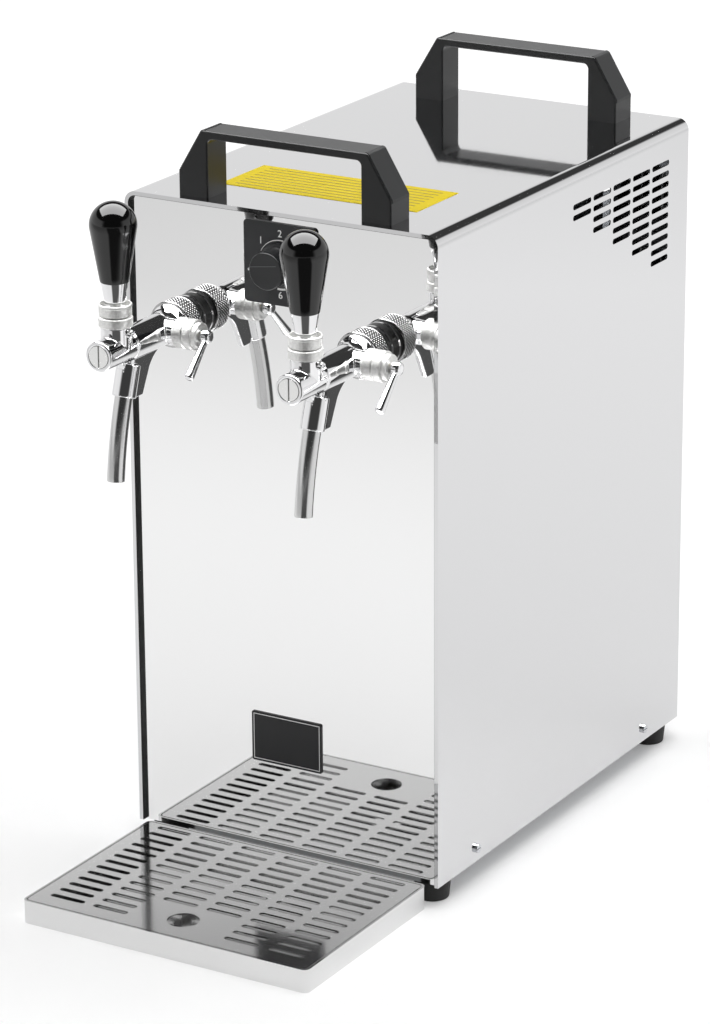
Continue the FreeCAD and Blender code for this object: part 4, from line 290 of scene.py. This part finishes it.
def moulded(name, colour, worn, roughness, grain, depth, sockets=None):
    """Moulded plastic or rubber: its colour varies towards a worn shade and its skin has a fine grain."""
    made, tree, shader = coat(name)
    place = node(tree, "TexCoord").outputs["Object"]
    cloud = node(tree, "TexNoise", {"Vector": place, "Scale": 1 / CLOUD_SIZE, "Detail": 4.0})
    pores = node(tree, "TexNoise", {"Vector": place, "Scale": 1 / (grain * MM), "Detail": 2.0})
    shade = node(tree, "Mix", {0: cloud.outputs[0], 6: linear(colour), 7: linear(worn)}, data_type="RGBA")
    gloss = node(tree, "MapRange", {"Value": cloud.outputs[0], "To Min": roughness - 0.05,
                                    "To Max": roughness + 0.05})
    slope = node(tree, "Bump", {"Height": pores.outputs[0], "Strength": 0.6, "Distance": depth * MM})
    tree.links.new(shade.outputs[2], shader.inputs["Base Color"])
    tree.links.new(gloss.outputs[0], shader.inputs["Roughness"])
    tree.links.new(slope.outputs[0], shader.inputs["Normal"])
    for socket, value in (sockets or {}).items():
        shader.inputs[socket].default_value = value
    return made


grip_nylon = moulded("spark_textured_black_nylon", "#0A0B0C", "#121314", 0.36, 0.5, 0.008,
                     {"Specular IOR Level": 0.4})
cap_nylon = moulded("black_nylon_cover", "#0A0B0C", "#111213", 0.4, 0.5, 0.01, {"Specular IOR Level": 0.35})
foot_rubber = moulded("black_foot_rubber", "#161616", "#242424", 0.7, 0.8, 0.04)
paint(grip_nylon, "front_grip", "rear_grip")
paint(cap_nylon, "grip_caps")
paint(foot_rubber, "rubber_feet")


# A black strip along the front panel's top and sides, inside the casing's hem, is painted shade: it stands
# for the dark gap there.

def solid(name, points, faces, material, body, sharp=35):
    """Put a mesh into the scene: doubles merged, faces turned outwards, edges over an angle kept sharp."""
    mesh = bpy.data.meshes.new(name)
    mesh.from_pydata(np.asarray(points).tolist(), [], [tuple(face) for face in faces])
    work = bmesh.new()
    work.from_mesh(mesh)
    bmesh.ops.remove_doubles(work, verts=work.verts, dist=1e-7)
    bmesh.ops.recalc_face_normals(work, faces=work.faces)
    work.to_mesh(mesh)
    work.free()
    mesh.shade_smooth()
    mesh.set_sharp_from_angle(angle=math.radians(sharp))
    mesh.materials.append(material)
    piece = bpy.data.objects.new(name, mesh)
    bpy.context.scene.collection.objects.link(piece)
    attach(piece, body)
    return piece


def skin(stations, ends=True):
    """Faces of closed rings of points: each ring is joined to the next, and the two end rings are filled."""
    count, ring = stations.shape[:2]
    here = np.arange((count - 1) * ring).reshape(count - 1, ring)
    beside = np.roll(here, -1, 1)
    faces = np.stack([here, beside, beside + ring, here + ring], -1).reshape(-1, 4).tolist()
    if ends:
        faces += [list(range(ring)), list(range((count - 1) * ring, count * ring))]
    return stations.reshape(-1, 3), faces


casing_low, casing_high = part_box("casing")
panel_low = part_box("front_panel")[0]
HEM = 3.0 * MM
SHADE_STRIP_WALL = 0.35 * MM
SHADE_STRIP_SETBACK = 0.4 * MM
CORNER_RADIUS = 9.0 * MM
SHADE_STRIP_STEPS = 12


def make_hem_shade_strip():
    """A flat strip on edge: two outlines of an upside-down U, one wall apart, at two depths."""
    turn = np.linspace(0, np.pi / 2, SHADE_STRIP_STEPS)
    layers = []
    for inset in (HEM, HEM + SHADE_STRIP_WALL):
        radius = CORNER_RADIUS - inset
        x, z = casing_high.x - inset - radius, casing_high.z - inset - radius
        right = np.column_stack([x + radius * np.cos(turn), z + radius * np.sin(turn)])
        left = right[::-1] * (-1, 1)
        foot = [(casing_high.x - inset, panel_low.z)]
        layers.append(np.concatenate([foot, right, left, np.array(foot) * (-1, 1)]))
    sections = [layers[0], layers[1], layers[1], layers[0]]
    depths = [panel_low.y, panel_low.y, casing_low.y + SHADE_STRIP_SETBACK, casing_low.y + SHADE_STRIP_SETBACK]
    rings = [np.column_stack([flat[:, 0], np.full(len(flat), depth), flat[:, 1]])
             for flat, depth in zip(sections, depths)]
    points, faces = skin(np.stack(rings, 1))
    solid("front_panel_hem_shade_strip", points, faces, hem_shade_black, "cooler")


# Painted shade: the strip's black stands for the dark gap at the casing's hem.
hem_shade_black = moulded("black_strip_painted_hem_shade", "#0C0C0C", "#141414", 0.6, 0.6, 0.01)
make_hem_shade_strip()


# Thermostat: a printed black plate, a black knob with a pointer, white numbers one to six and an arc
# that widens from one to six. The plate and the knob are moulded ABS, the print is white ink.

def print_band(angles, middle, width, centre, face, lift):
    """A printed arc: at each angle a small rectangle, width across and lift thick, stands on a circle."""
    across = np.array([-0.5, 0.5, 0.5, -0.5])
    out = np.array([0.0, 0.0, 1.0, 1.0])
    radius = middle + np.outer(width, across)
    turn = angles[:, None]
    return np.stack([centre[0] + radius * np.cos(turn), np.broadcast_to(face - lift * out, radius.shape),
                     centre[1] + radius * np.sin(turn)], -1)


INK = 0.12 * MM
dial_low, dial_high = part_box("thermostat_plate")
dial_centre = ((dial_low.x + dial_high.x) / 2, (dial_low.z + dial_high.z) / 2)
NUMBER_RADIUS = 22.6 * MM
NUMBER_HEIGHT = 7.4 * MM
ARC_RADIUS = 18.0 * MM
ARC_STEPS = 60
FIRST_NUMBER_TURN = 135
NUMBER_STEP = 45
dial_black = moulded("black_abs_dial_plate", "#1B1C1E", "#242527", 0.38, 0.3, 0.006)
knob_black = moulded("black_abs_dial_knob", "#18191A", "#1F2022", 0.3, 0.3, 0.004)
white_ink = moulded("white_screen_print", "#F2F2F0", "#E6E6E4", 0.5, 0.4, 0.002)
paint(dial_black, "thermostat_plate")
paint(knob_black, "thermostat_knob")

sweep = np.radians(np.linspace(152, -98, ARC_STEPS))
arc_width = np.linspace(0.35, 1.5, ARC_STEPS) * MM
arc_points, arc_faces = skin(print_band(sweep, ARC_RADIUS, arc_width, dial_centre, dial_low.y, INK))
solid("dial_arc", arc_points, arc_faces, white_ink, "cooler")


def make_number(text, place, height):
    """A printed number: flat type with a little thickness, stood up against the plate."""
    curve = bpy.data.curves.new("number_" + text, "FONT")
    curve.body = text
    curve.size = height
    curve.extrude = INK / 2
    curve.align_x = "CENTER"
    curve.align_y = "CENTER"
    typed = bpy.data.objects.new("type", curve)
    mesh = bpy.data.meshes.new_from_object(typed)
    bpy.data.objects.remove(typed)
    mesh.transform(Matrix.Translation(place) @ Matrix.Rotation(math.pi / 2, 4, "X"))
    mesh.materials.clear()
    mesh.materials.append(white_ink)
    piece = bpy.data.objects.new("dial_number_" + text, mesh)
    bpy.context.scene.collection.objects.link(piece)
    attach(piece, "cooler")


for step in range(6):
    angle = math.radians(FIRST_NUMBER_TURN - NUMBER_STEP * step)
    place = Vector((dial_centre[0] + NUMBER_RADIUS * math.cos(angle), dial_low.y - INK / 2,
                    dial_centre[1] + NUMBER_RADIUS * math.sin(angle)))
    make_number(str(step + 1), place, NUMBER_HEIGHT)


def block(low, high):
    """The six faces between two corners, as two square rings."""
    ring = np.array([(0, 0), (1, 0), (1, 1), (0, 1)])
    ends = [np.column_stack([ring, np.full(4, level)]) for level in (0, 1)]
    return skin(np.array(ends) * (np.array(high) - low) + low)


knob_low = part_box("thermostat_knob")[0]
POINTER_TURN = math.radians(-8)


def turned_mark(low, high):
    """A thin block on the knob, turned about the knob's axis to where the pointer stands at rest."""
    points, faces = block(low, high)
    x, z = points[:, 0], points[:, 2]
    cos, sin = math.cos(POINTER_TURN), math.sin(POINTER_TURN)
    across, up = dial_centre[0] + cos * x + sin * z, dial_centre[1] - sin * x + cos * z
    return np.column_stack([across, points[:, 1], up]), faces


knob_line_points, knob_line_faces = turned_mark((-12.9 * MM, knob_low.y - INK, 3.5 * MM),
                                                (9.5 * MM, knob_low.y, 3.8 * MM))
grey_line = moulded("engraved_pointer_line", "#6A6B6D", "#5A5B5D", 0.4, 0.3, 0.002)
solid("dial_pointer_line", knob_line_points, knob_line_faces, grey_line, "dial")
mark_points, mark_faces = turned_mark((-14.6 * MM, knob_low.y + 0.6 * MM, 1.0 * MM),
                                      (-13.5 * MM, knob_low.y + 8 * MM, 2.6 * MM))
solid("dial_pointer_mark", mark_points, mark_faces, white_ink, "dial")


# Name plate and top label, both left plain: a black anodised plate with a light border, and a yellow
# vinyl label with faint ruled lines.

plate_black = moulded("black_anodised_plate", "#0E0E10", "#161618", 0.3, 0.4, 0.003,
                      {"Specular IOR Level": 0.35})
border_silver = metal_sheet("bare_aluminium_border", "#DADADA", 0.3, 1.0, 0.002)
label_yellow = moulded("yellow_vinyl_label", "#CDB80C", "#C4AE0A", 0.5, 0.6, 0.004,
                       {"Specular IOR Level": 0.12})
rule_ink = moulded("dark_ink_rule", "#6E6224", "#5F551E", 0.5, 0.4, 0.002)
paint(plate_black, "badge_plate")
paint(label_yellow, "top_label")

badge_low, badge_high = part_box("badge_plate")
BORDER_INSET = 1.6 * MM
BORDER_WIDTH = 0.5 * MM


def rectangle_ring(low, high, inset, width, face, lift):
    """A thin frame on the plate: at each corner a rectangle set across the bisector."""
    corner = np.array([(0, 0), (1, 0), (1, 1), (0, 1)])
    size = np.array([high.x - low.x, high.z - low.z])
    base = np.array([low.x, low.z])
    rings = []
    for step, out in ((inset, 0), (inset + width, 0), (inset + width, 1), (inset, 1)):
        flat = base + corner * size + (1 - 2 * corner) * step
        rings.append(np.column_stack([flat[:, 0], np.full(4, face - out * lift), flat[:, 1]]))
    return np.array(rings)


rings = rectangle_ring(badge_low, badge_high, BORDER_INSET, BORDER_WIDTH, badge_low.y, INK)
border_points, border_faces = skin(np.concatenate([rings, rings[:1]]), ends=False)
solid("badge_border", border_points, border_faces, border_silver, "cooler")

label_low, label_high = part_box("top_label")
RULES = 8
RULE_MARGIN = 9 * MM
RULE_HALF = 0.55 * MM
RULE_LIFT = 0.06 * MM
rule_points, rule_faces = [], []
for line in range(RULES):
    y = label_low.y + (label_high.y - label_low.y) * (line + 1) / (RULES + 1)
    some, these = block((label_low.x + RULE_MARGIN, y - RULE_HALF, label_high.z),
                        (label_high.x - RULE_MARGIN, y + RULE_HALF, label_high.z + RULE_LIFT))
    rule_faces += [[i + len(rule_points) * len(some) for i in face] for face in these]
    rule_points.append(some)
solid("label_rules", np.concatenate(rule_points), rule_faces, rule_ink, "cooler")


# Drip tray and grate: pressed from bright stainless sheet with a faint brushing from side to side, so
# that they mirror the taps and the panel softly.

tray_steel = metal_sheet("satin_stainless_tray", "#E4E4E4", 0.11, 0.8, 0.00002, (0.1, 1, 1), 0.01)
paint(tray_steel, "drip_tray", "drip_grate")


# Taps: cast brass, ground smooth and chromed. Turned parts are made as surfaces carried round a line.
# The body is the casting itself: its solid is melted over with a fine even skin and smoothed, which
# gives it the soft fillets of a casting.

def eased(corners, radius, closed=False):
    """Round each corner of an outline: a parabola between points a radius away, or less on a short side."""
    spot = np.array(corners, float) * MM
    before, after = np.roll(spot, 1, 0), np.roll(spot, -1, 0)
    if not closed:
        before[0], after[-1] = spot[0], spot[-1]
    curve = []
    for other in (before, after):
        gap = other - spot
        length = np.maximum(np.linalg.norm(gap, axis=1, keepdims=True), 1e-9)
        curve.append(spot + gap / length * np.minimum(radius * MM, 0.45 * length))
    t = np.linspace(0, 1, 5)[None, :, None]
    bend = (1 - t) ** 2 * curve[0][:, None] + 2 * t * (1 - t) * spot[:, None] + t ** 2 * curve[1][:, None]
    return bend.reshape(-1, 2)


def straight(start, way):
    """A straight line from a point: distance s lies at start + s times the way."""
    way = np.array(way, float)
    side = np.array((1.0, 0, 0)) if abs(way[0]) < 0.5 else np.array((0, 1.0, 0))
    up = np.cross(way, side)

    def spine(distance):
        spots = np.array(start) + distance[:, None] * way
        return spots, np.broadcast_to(side, spots.shape), np.broadcast_to(up, spots.shape)
    return spine


def turned(profile, spine, steps=96, relief=None, closed=False):
    """Carry (distance, radius) round a line: point = line(distance) + radius (cos a side + sin a up)."""
    if closed:
        profile = np.concatenate([profile, profile[:1]])
    angle = np.linspace(0, 2 * np.pi, steps, endpoint=False)
    spots, side, up = spine(profile[:, 0])
    radius = np.repeat(profile[:, 1][:, None], steps, 1)
    if relief:
        radius = radius + relief(angle[None, :], profile[:, 0][:, None], radius)
    ring = np.cos(angle)[None, :, None] * side[:, None] + np.sin(angle)[None, :, None] * up[:, None]
    return skin(spots[:, None] + radius[..., None] * ring, ends=False)


chrome = metal_sheet("polished_chrome_plate", "#E9E9EA", 0.035, 14, 0.004, spread=0.01)
tube_steel = metal_sheet("satin_stainless_tube", "#CFCFCF", 0.16, 0.6, 0.0005, (1, 1, 0.05), 0.03)
plug_chrome = metal_sheet("satin_turned_plug_face", "#F2F2F1", 0.22, 0.6, 0.002)


def cast_chrome(name, colour, roughness, grain, depth):
    """Chrome on an unground casting: the skin is grainy, so it spreads light and looks nearly white."""
    made, tree, shader = coat(name)
    place = node(tree, "TexCoord").outputs["Object"]
    pits = node(tree, "TexVoronoi", {"Vector": place, "Scale": 1 / (grain * MM)})
    cloud = node(tree, "TexNoise", {"Vector": place, "Scale": 1 / (3 * grain * MM), "Detail": 3.0})
    slope = node(tree, "Bump", {"Height": pits.outputs[0], "Strength": 0.7, "Distance": depth * MM})
    shade = node(tree, "Mix", {0: cloud.outputs[0], 6: linear(colour), 7: linear("#C9C9C8")},
                 data_type="RGBA")
    shader.inputs["Metallic"].default_value = 1.0
    shader.inputs["Roughness"].default_value = roughness
    tree.links.new(shade.outputs[2], shader.inputs["Base Color"])
    tree.links.new(slope.outputs[0], shader.inputs["Normal"])
    return made


satin_chrome = cast_chrome("satin_chrome_on_cast_ring", "#FAFAF8", 0.5, 0.7, 0.1)
seal_rubber = moulded("black_sealing_rubber", "#121212", "#1C1C1C", 0.45, 0.5, 0.01)
brass = metal_sheet("turned_brass", "#D8B45A", 0.25, 1.0, 0.002)
paint(seal_rubber, "wall_gaskets")
paint(plug_chrome, "tap_plugs")
paint(brass, "shank_nuts")

plug_low, plug_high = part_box("tap_plugs")
tap_z = (plug_low.z + plug_high.z) / 2
joint_place = {joint["name"]: joint["pos_m"] for joint in frame["joints"] if "pos_m" in joint}

SKIN_SIZE = 0.45 * MM
SKIN_PASSES = 14


def make_casting(side):
    """The tap's body: a voxel skin over its solid, then each point drawn to the mean of its neighbours."""
    source = frame["nodes"][side + "_tap_body"].data.copy()
    work = bmesh.new()
    work.from_mesh(source)
    bmesh.ops.remove_doubles(work, verts=work.verts, dist=1e-6)
    work.to_mesh(source)
    work.free()
    rough = bpy.data.objects.new("rough", source)
    bpy.context.scene.collection.objects.link(rough)
    remesh = rough.modifiers.new("skin", "REMESH")
    remesh.mode = "VOXEL"
    remesh.voxel_size = SKIN_SIZE
    smooth = rough.modifiers.new("ground", "SMOOTH")
    smooth.factor = 0.5
    smooth.iterations = SKIN_PASSES
    ready = rough.evaluated_get(bpy.context.evaluated_depsgraph_get())
    mesh = bpy.data.meshes.new_from_object(ready)
    bpy.data.objects.remove(rough)
    mesh.name = side + "_tap_casting"
    mesh.materials.clear()
    mesh.materials.append(chrome)
    mesh.shade_smooth()
    piece = bpy.data.objects.new(side + "_tap_casting", mesh)
    bpy.context.scene.collection.objects.link(piece)
    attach(piece, "cooler")
    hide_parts(side + "_tap_body")


TEETH = 40
STEPS_PER_TOOTH = 9
TOOTH = 0.85 * MM
KNURL_PITCH = 2.8 * MM
KNURL_ROWS = 56
KNURL_RIM = 0.9 * MM
KNURL_FADE = 0.5 * MM
KNURL_INNER = 13 * MM
HOLE_RADIUS = 1.7 * MM
HOLE_DEPTH = 2.6 * MM
HOLE_EDGE = 0.35 * MM
HOLE_TURN = math.radians(42)
GROOVE_GAIN = 2.2
GROOVE_START = 0.7


def knurled_chrome():
    """Chrome on a knurl: bright on the points, and dull down in the grooves, where its colour darkens to
    near black as painted shade.
    """
    made, tree, shader = coat("chromed_knurling_painted_shade")
    depth = node(tree, "Attribute", attribute_name="groove_depth_and_shade").outputs["Fac"]
    # Painted shade: the knurl is greyer than plain chrome and nearly black deep in its grooves.
    shade = node(tree, "Mix", {0: depth, 6: linear("#B4B4B4"), 7: linear("#050505")}, data_type="RGBA")
    gloss = node(tree, "MapRange", {"Value": depth, "To Min": 0.12, "To Max": 0.5})
    shader.inputs["Metallic"].default_value = 1.0
    tree.links.new(shade.outputs[2], shader.inputs["Base Color"])
    tree.links.new(gloss.outputs[0], shader.inputs["Roughness"])
    return made


def make_collars():
    """Coupling nuts with a diamond knurl: two sets of grooves wind opposite ways between plain rims.
    Each point keeps how deep it lies in the knurl, for the chrome's gloss and for the painted shade in its
    colour."""
    low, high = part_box("tap_collars")
    length = (high.y - low.y) / MM
    outer = (high.z - low.z) / 2 / MM
    middle = length / 2 * MM
    outline = eased([(0, 9.4), (0, outer - 0.9), (0.7, outer - 0.1), (length - 0.7, outer - 0.1),
                     (length, outer - 0.9), (length, 12.2), (4.6, 12.2), (4.6, 9.4)], 0.3, True)
    stretch = np.linspace(1.0, length - 1.0, KNURL_ROWS) * MM
    cut = int(np.argmax(outline[:, 0] > KNURL_RIM))
    fine = np.column_stack([stretch, np.full(KNURL_ROWS, (outer - 0.1) * MM)])
    after = outline[cut:][outline[cut:, 0] > (length - 0.95) * MM]
    rest = outline[len(outline) - 10:]
    outline = np.concatenate([outline[:cut], fine, after, rest])
    points, faces = [], []

    def knurl(angle, distance, radius):
        ends = (distance - KNURL_RIM, middle * 2 - KNURL_RIM - distance)
        fade = np.clip(ends[0] / KNURL_FADE, 0, 1) * np.clip(ends[1] / KNURL_FADE, 0, 1)
        band = (radius > KNURL_INNER) * fade
        around, along = angle * TEETH / (2 * np.pi), distance / KNURL_PITCH
        tooth = np.maximum(*[np.abs(np.mod(around + way * along, 1) - 0.5) * 2 for way in (-1, 1)])
        beside = (np.mod(angle - HOLE_TURN + np.pi, 2 * np.pi) - np.pi) * radius
        pit = np.clip((HOLE_RADIUS - np.hypot(distance - middle, beside)) / HOLE_EDGE, 0, 1)
        return -band * (tooth * TOOTH * (1 - pit) + pit * HOLE_DEPTH)

    for name in ("left", "right"):
        x = joint_place[name + "_handle_tilt"][0]
        some, these = turned(outline, straight((x, low.y, tap_z), (0, 1, 0)), TEETH * STEPS_PER_TOOTH,
                             knurl, closed=True)
        faces += [[i + len(points) * len(some) for i in face] for face in these]
        points.append(some)
    piece = solid("knurled_collars", np.concatenate(points), faces, knurled_chrome(), "cooler",
                  50)
    spots = np.array([vertex.co for vertex in piece.data.vertices])
    away = np.minimum(*[np.hypot(spots[:, 0] - joint_place[name + "_handle_tilt"][0], spots[:, 2] - tap_z)
                        for name in ("left", "right")])
    between = (spots[:, 1] > low.y + KNURL_RIM) * (spots[:, 1] < high.y - KNURL_RIM) * (away > KNURL_INNER)
    depth = ((outer - 0.1) * MM - away) / TOOTH
    # How deep each point lies in the knurl; it drives the chrome's gloss and its painted shade.
    groove_depth_and_shade = piece.data.attributes.new("groove_depth_and_shade", "FLOAT", "POINT")
    groove_depth_and_shade.data.foreach_set("value", between * np.clip(depth * GROOVE_GAIN - GROOVE_START, 0, 1))
    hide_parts("tap_collars")


def lathe(name, profile, spine, material, body, stands_for, closed=False, steps=96):
    """A turned piece, which stands for a CAD node where one is named."""
    points, faces = turned(profile, spine, steps, closed=closed)
    piece = solid(name, points, faces, material, body)
    if stands_for:
        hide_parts(stands_for)


knob_gloss = moulded("polished_black_phenolic", "#040404", "#060606", 0.06, 0.5, 0.0, {"IOR": 1.55})


def make_knob(side):
    """A tapered knob: a cone from its ferrule that runs tangent into a round top."""
    low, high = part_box(side + "_lever_knob")
    x, y = (low.x + high.x) / 2, (low.y + high.y) / 2
    tall = (high.z - low.z) / MM
    wide = (high.x - low.x) / 2 / MM
    foot = 10.5
    fall = tall - wide
    lean = math.asin(wide / math.hypot(foot, fall)) - math.atan(foot / fall)
    arc = np.linspace(-lean, math.pi / 2, 40)
    cap = np.column_stack([fall + wide * np.sin(arc), wide * np.cos(arc)])
    start = np.array([(0, 0), (0, foot - 0.6), (0.15, foot - 0.15), (0.6, foot)])
    flank = np.linspace(start[-1], cap[0], 12)[1:-1]
    profile = np.concatenate([start, flank, cap]) * MM
    profile[-1, 1] = 0
    lathe(side + "_lever_grip", profile, straight((x, y, low.z), (0, 0, 1)), knob_gloss, side + "_handle",
          side + "_lever_knob", steps=128)


def make_lever(side):
    """The lever: finger, ball, neck, and the chromed ferrule that widens up to the knob."""
    x, y, z = joint_place[side + "_handle_tilt"]
    spine = straight((x, y, z), (0, 0, 1))
    arc = np.radians(np.linspace(-70.5, 48.2, 24))
    ball = np.column_stack([6 * np.sin(arc), 6 * np.cos(arc)]) * MM
    tip = np.radians(np.linspace(-90, 48, 16))
    finger = np.column_stack([3 * np.sin(tip) - 26.4, 3 * np.cos(tip)]) * MM
    neck = eased([(4.47, 4.0), (7.8, 4.0), (7.8, 7.6), (8.4, 7.62), (23.3, 10.0), (23.3, 4.1), (23.3, 0)],
                 0.35)
    profile = np.concatenate([finger, ball, neck])
    profile[0, 1] = 0
    lathe(side + "_lever_ferrule", profile, spine, chrome, side + "_handle", side + "_tap_lever")


def make_rings(side):
    """The collar round the lever's ball, and the lock ring over it."""
    x, y = joint_place[side + "_handle_tilt"][:2]
    low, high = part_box(side + "_lever_collar")
    collar = eased([(0, 9.0), (0, 12.3), (6.5, 12.3), (7.3, 10.4), (7.3, 6.35), (4.9, 4.9)], 0.35, True)
    lathe(side + "_ball_collar", collar, straight((x, y, low.z), (0, 0, 1)), satin_chrome, "cooler",
          side + "_lever_collar", True)
    ring = eased([(0, 6.3), (0, 10.4), (0.9, 11.8), (6.6, 11.8), (7.0, 12.1), (8.5, 12.1), (8.9, 11.6),
                  (8.9, 10.8), (4.5, 10.8), (4.5, 5.7), (1.3, 6.3)], 0.3, True)
    lathe(side + "_lock_ring", ring, straight((x, y, high.z), (0, 0, 1)), satin_chrome, "cooler",
          None, True)


SCREW_OUT = 10.4 * MM
SCREW_RISE = 13.0 * MM


def make_seat_screw(side):
    """A small socket screw that locks the lever's ball seat, on the right of the column."""
    x, y = joint_place[side + "_handle_tilt"][:2]
    screw = eased([(0, 0), (0, 3.0), (3.6, 3.0), (4.2, 2.3), (4.2, 1.4), (2.6, 1.3), (2.6, 0)], 0.3)
    spine = straight((x + SCREW_OUT, y, tap_z + SCREW_RISE), (1, 0, 0))
    lathe(side + "_seat_screw", screw, spine, chrome, "cooler", None, steps=48)


def make_compensator(side):
    """The flow compensator's grooved drum, and the hub with its slim lever."""
    y, z = joint_place[side + "_flow_turn"][1:]
    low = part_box(side + "_comp_bonnet")[0]
    drum = eased([(5.6, 3.05), (0, 3.05), (0, 4.9), (5.6, 4.9), (5.6, 10.6), (6.3, 11.3), (13.2, 11.3),
                  (14.2, 10.5), (15.2, 11.3), (20.2, 11.3), (21, 10.6), (21, 9.5), (24.4, 9.5), (25, 8.6),
                  (25, 3.05)], 0.3, True)
    lathe(side + "_flow_drum", drum, straight((low.x, y, z), (1, 0, 0)), satin_chrome, "cooler",
          side + "_comp_bonnet", True)
    hub_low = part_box(side + "_comp_lever")[0]
    hub = eased([(0, 3.05), (0, 4.6), (0.7, 5.2), (5.4, 5.2), (7.0, 4.2), (7.6, 2.6), (7.6, 0)], 0.5)
    hub = np.concatenate([[(4.6 * MM, 0), (4.6 * MM, 3.05 * MM)], hub])
    points, faces = turned(hub, straight((hub_low.x, y, z), (1, 0, 0)), 64)
    slope = math.sqrt(0.5)
    rod = eased([(4.1, 0), (4.1, 2.5), (10, 2.6), (30, 3.4), (33.8, 3.6), (35.0, 3.0), (35.0, 0)], 0.5)
    more, others = turned(rod, straight((hub_low.x + 3.8 * MM, y, z), (0, -slope, -slope)), 48)
    faces += [[i + len(points) for i in face] for face in others]
    piece = solid(side + "_flow_lever", np.concatenate([points, more]), faces, chrome,
                  side + "_flow_handle")
    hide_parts(side + "_comp_lever")


SPOUT_LEAN = math.radians(18)
SPOUT_END_LEAN = math.radians(6)
SPOUT_DROP = 59 * MM
SPOUT_BEND_OUT = 88.3 * MM
SPOUT_BEND_FALL = 37.5 * MM
SPOUT_BORE = 5.3
SPOUT_RADIUS = 6.5
SPOUT_IN_SOCKET = 9.8
SPOUT_ARC = SPOUT_DROP / (math.sin(SPOUT_LEAN) - math.sin(SPOUT_END_LEAN))


def make_spout(side):
    """A bent tube: straight in its socket, then along an arc that ends nearly upright."""
    x = joint_place[side + "_handle_tilt"][0]
    bend = np.array((x, panel_low.y - SPOUT_BEND_OUT, tap_z - SPOUT_BEND_FALL))

    def spine(distance):
        turn = np.clip(distance, 0, None) / SPOUT_ARC
        lean = SPOUT_LEAN - turn
        y = np.where(distance > 0, -SPOUT_ARC * (np.cos(lean) - math.cos(SPOUT_LEAN)),
                     -distance * math.sin(SPOUT_LEAN))
        z = np.where(distance > 0, -SPOUT_ARC * (math.sin(SPOUT_LEAN) - np.sin(lean)),
                     -distance * math.cos(SPOUT_LEAN))
        spots = bend + np.column_stack([np.zeros_like(y), y, z])
        across = np.broadcast_to((1.0, 0, 0), spots.shape)
        up = np.column_stack([np.zeros_like(y), np.cos(lean), -np.sin(lean)])
        return spots, across, up

    length = SPOUT_ARC * (SPOUT_LEAN - SPOUT_END_LEAN) / MM
    along = np.linspace(-2, length - 3, 24)
    wall = [(-SPOUT_IN_SOCKET, SPOUT_BORE), (-SPOUT_IN_SOCKET, SPOUT_RADIUS)]
    wall += [(spot, SPOUT_RADIUS) for spot in along]
    wall += [(length, SPOUT_RADIUS), (length, SPOUT_BORE)] + [(spot, SPOUT_BORE) for spot in along[::-1]]
    lathe(side + "_spout_tube", eased(wall, 0.3, True), spine, tube_steel, "cooler",
          side + "_tap_spout", True, steps=72)


for side in ("left", "right"):
    make_casting(side)
    make_spout(side)
    make_knob(side)
    make_lever(side)
    make_rings(side)
    make_seat_screw(side)
    make_compensator(side)
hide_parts("lock_rings")
make_collars()
paint(chrome, *[side + "_tap_shank" for side in ("left", "right")])
paint(brass, *[side + "_" + part for side in ("left", "right") for part in ("tap_piston", "comp_cone")])


# Cooling set inside the casing: cast aluminium block in rigid foam, copper pipes, a black compressor,
# a finned condenser with its fan, and the keg pump. They show only through the vents.

aluminium = metal_sheet("cast_aluminium", "#C9CBCD", 0.4, 2.5, 0.02)
fin_aluminium = metal_sheet("thin_fin_aluminium", "#D5D7D9", 0.3, 1.0, 0.004)
copper = metal_sheet("drawn_copper_tube", "#D08A62", 0.25, 2.0, 0.003)
line_steel = metal_sheet("drawn_stainless_tube", "#D2D3D4", 0.2, 1.0, 0.002)
foam = moulded("rigid_foam", "#E9E4D2", "#DDD6C0", 0.8, 1.2, 0.3)
enamel = moulded("black_compressor_enamel", "#0D0D0E", "#161617", 0.22, 3.0, 0.02)
grey_plastic = moulded("grey_moulded_plastic", "#4A4D50", "#55585B", 0.45, 0.6, 0.02)
hose_rubber = moulded("grey_air_hose", "#8C8F93", "#7F8286", 0.5, 0.6, 0.01)
paint(aluminium, "cold_block")
paint(fin_aluminium, "condenser")
paint(copper, "refrigerant_pipes")
paint(line_steel, "beer_lines")
paint(foam, "insulation_box")
paint(enamel, "compressor")
paint(grey_plastic, "thermostat_body", "fan_motor", "fan_blades", "air_pump")
paint(hose_rubber, "air_hose")


# Rear fittings: push-in inlets of black acetal with grey collets, a cable gland and a rocker switch.

acetal = moulded("black_acetal", "#191A1B", "#222324", 0.35, 0.5, 0.008)
collet_grey = moulded("grey_acetal_collet", "#9A9DA1", "#8F9296", 0.4, 0.5, 0.006)
switch_gloss = moulded("glossy_black_switch", "#0C0C0D", "#121213", 0.15, 0.6, 0.002)
paint(acetal, "inlet_fittings", "cable_gland")
paint(collet_grey, "left_inlet_collet", "right_inlet_collet")
paint(switch_gloss, "switch_frame", "switch_rocker")
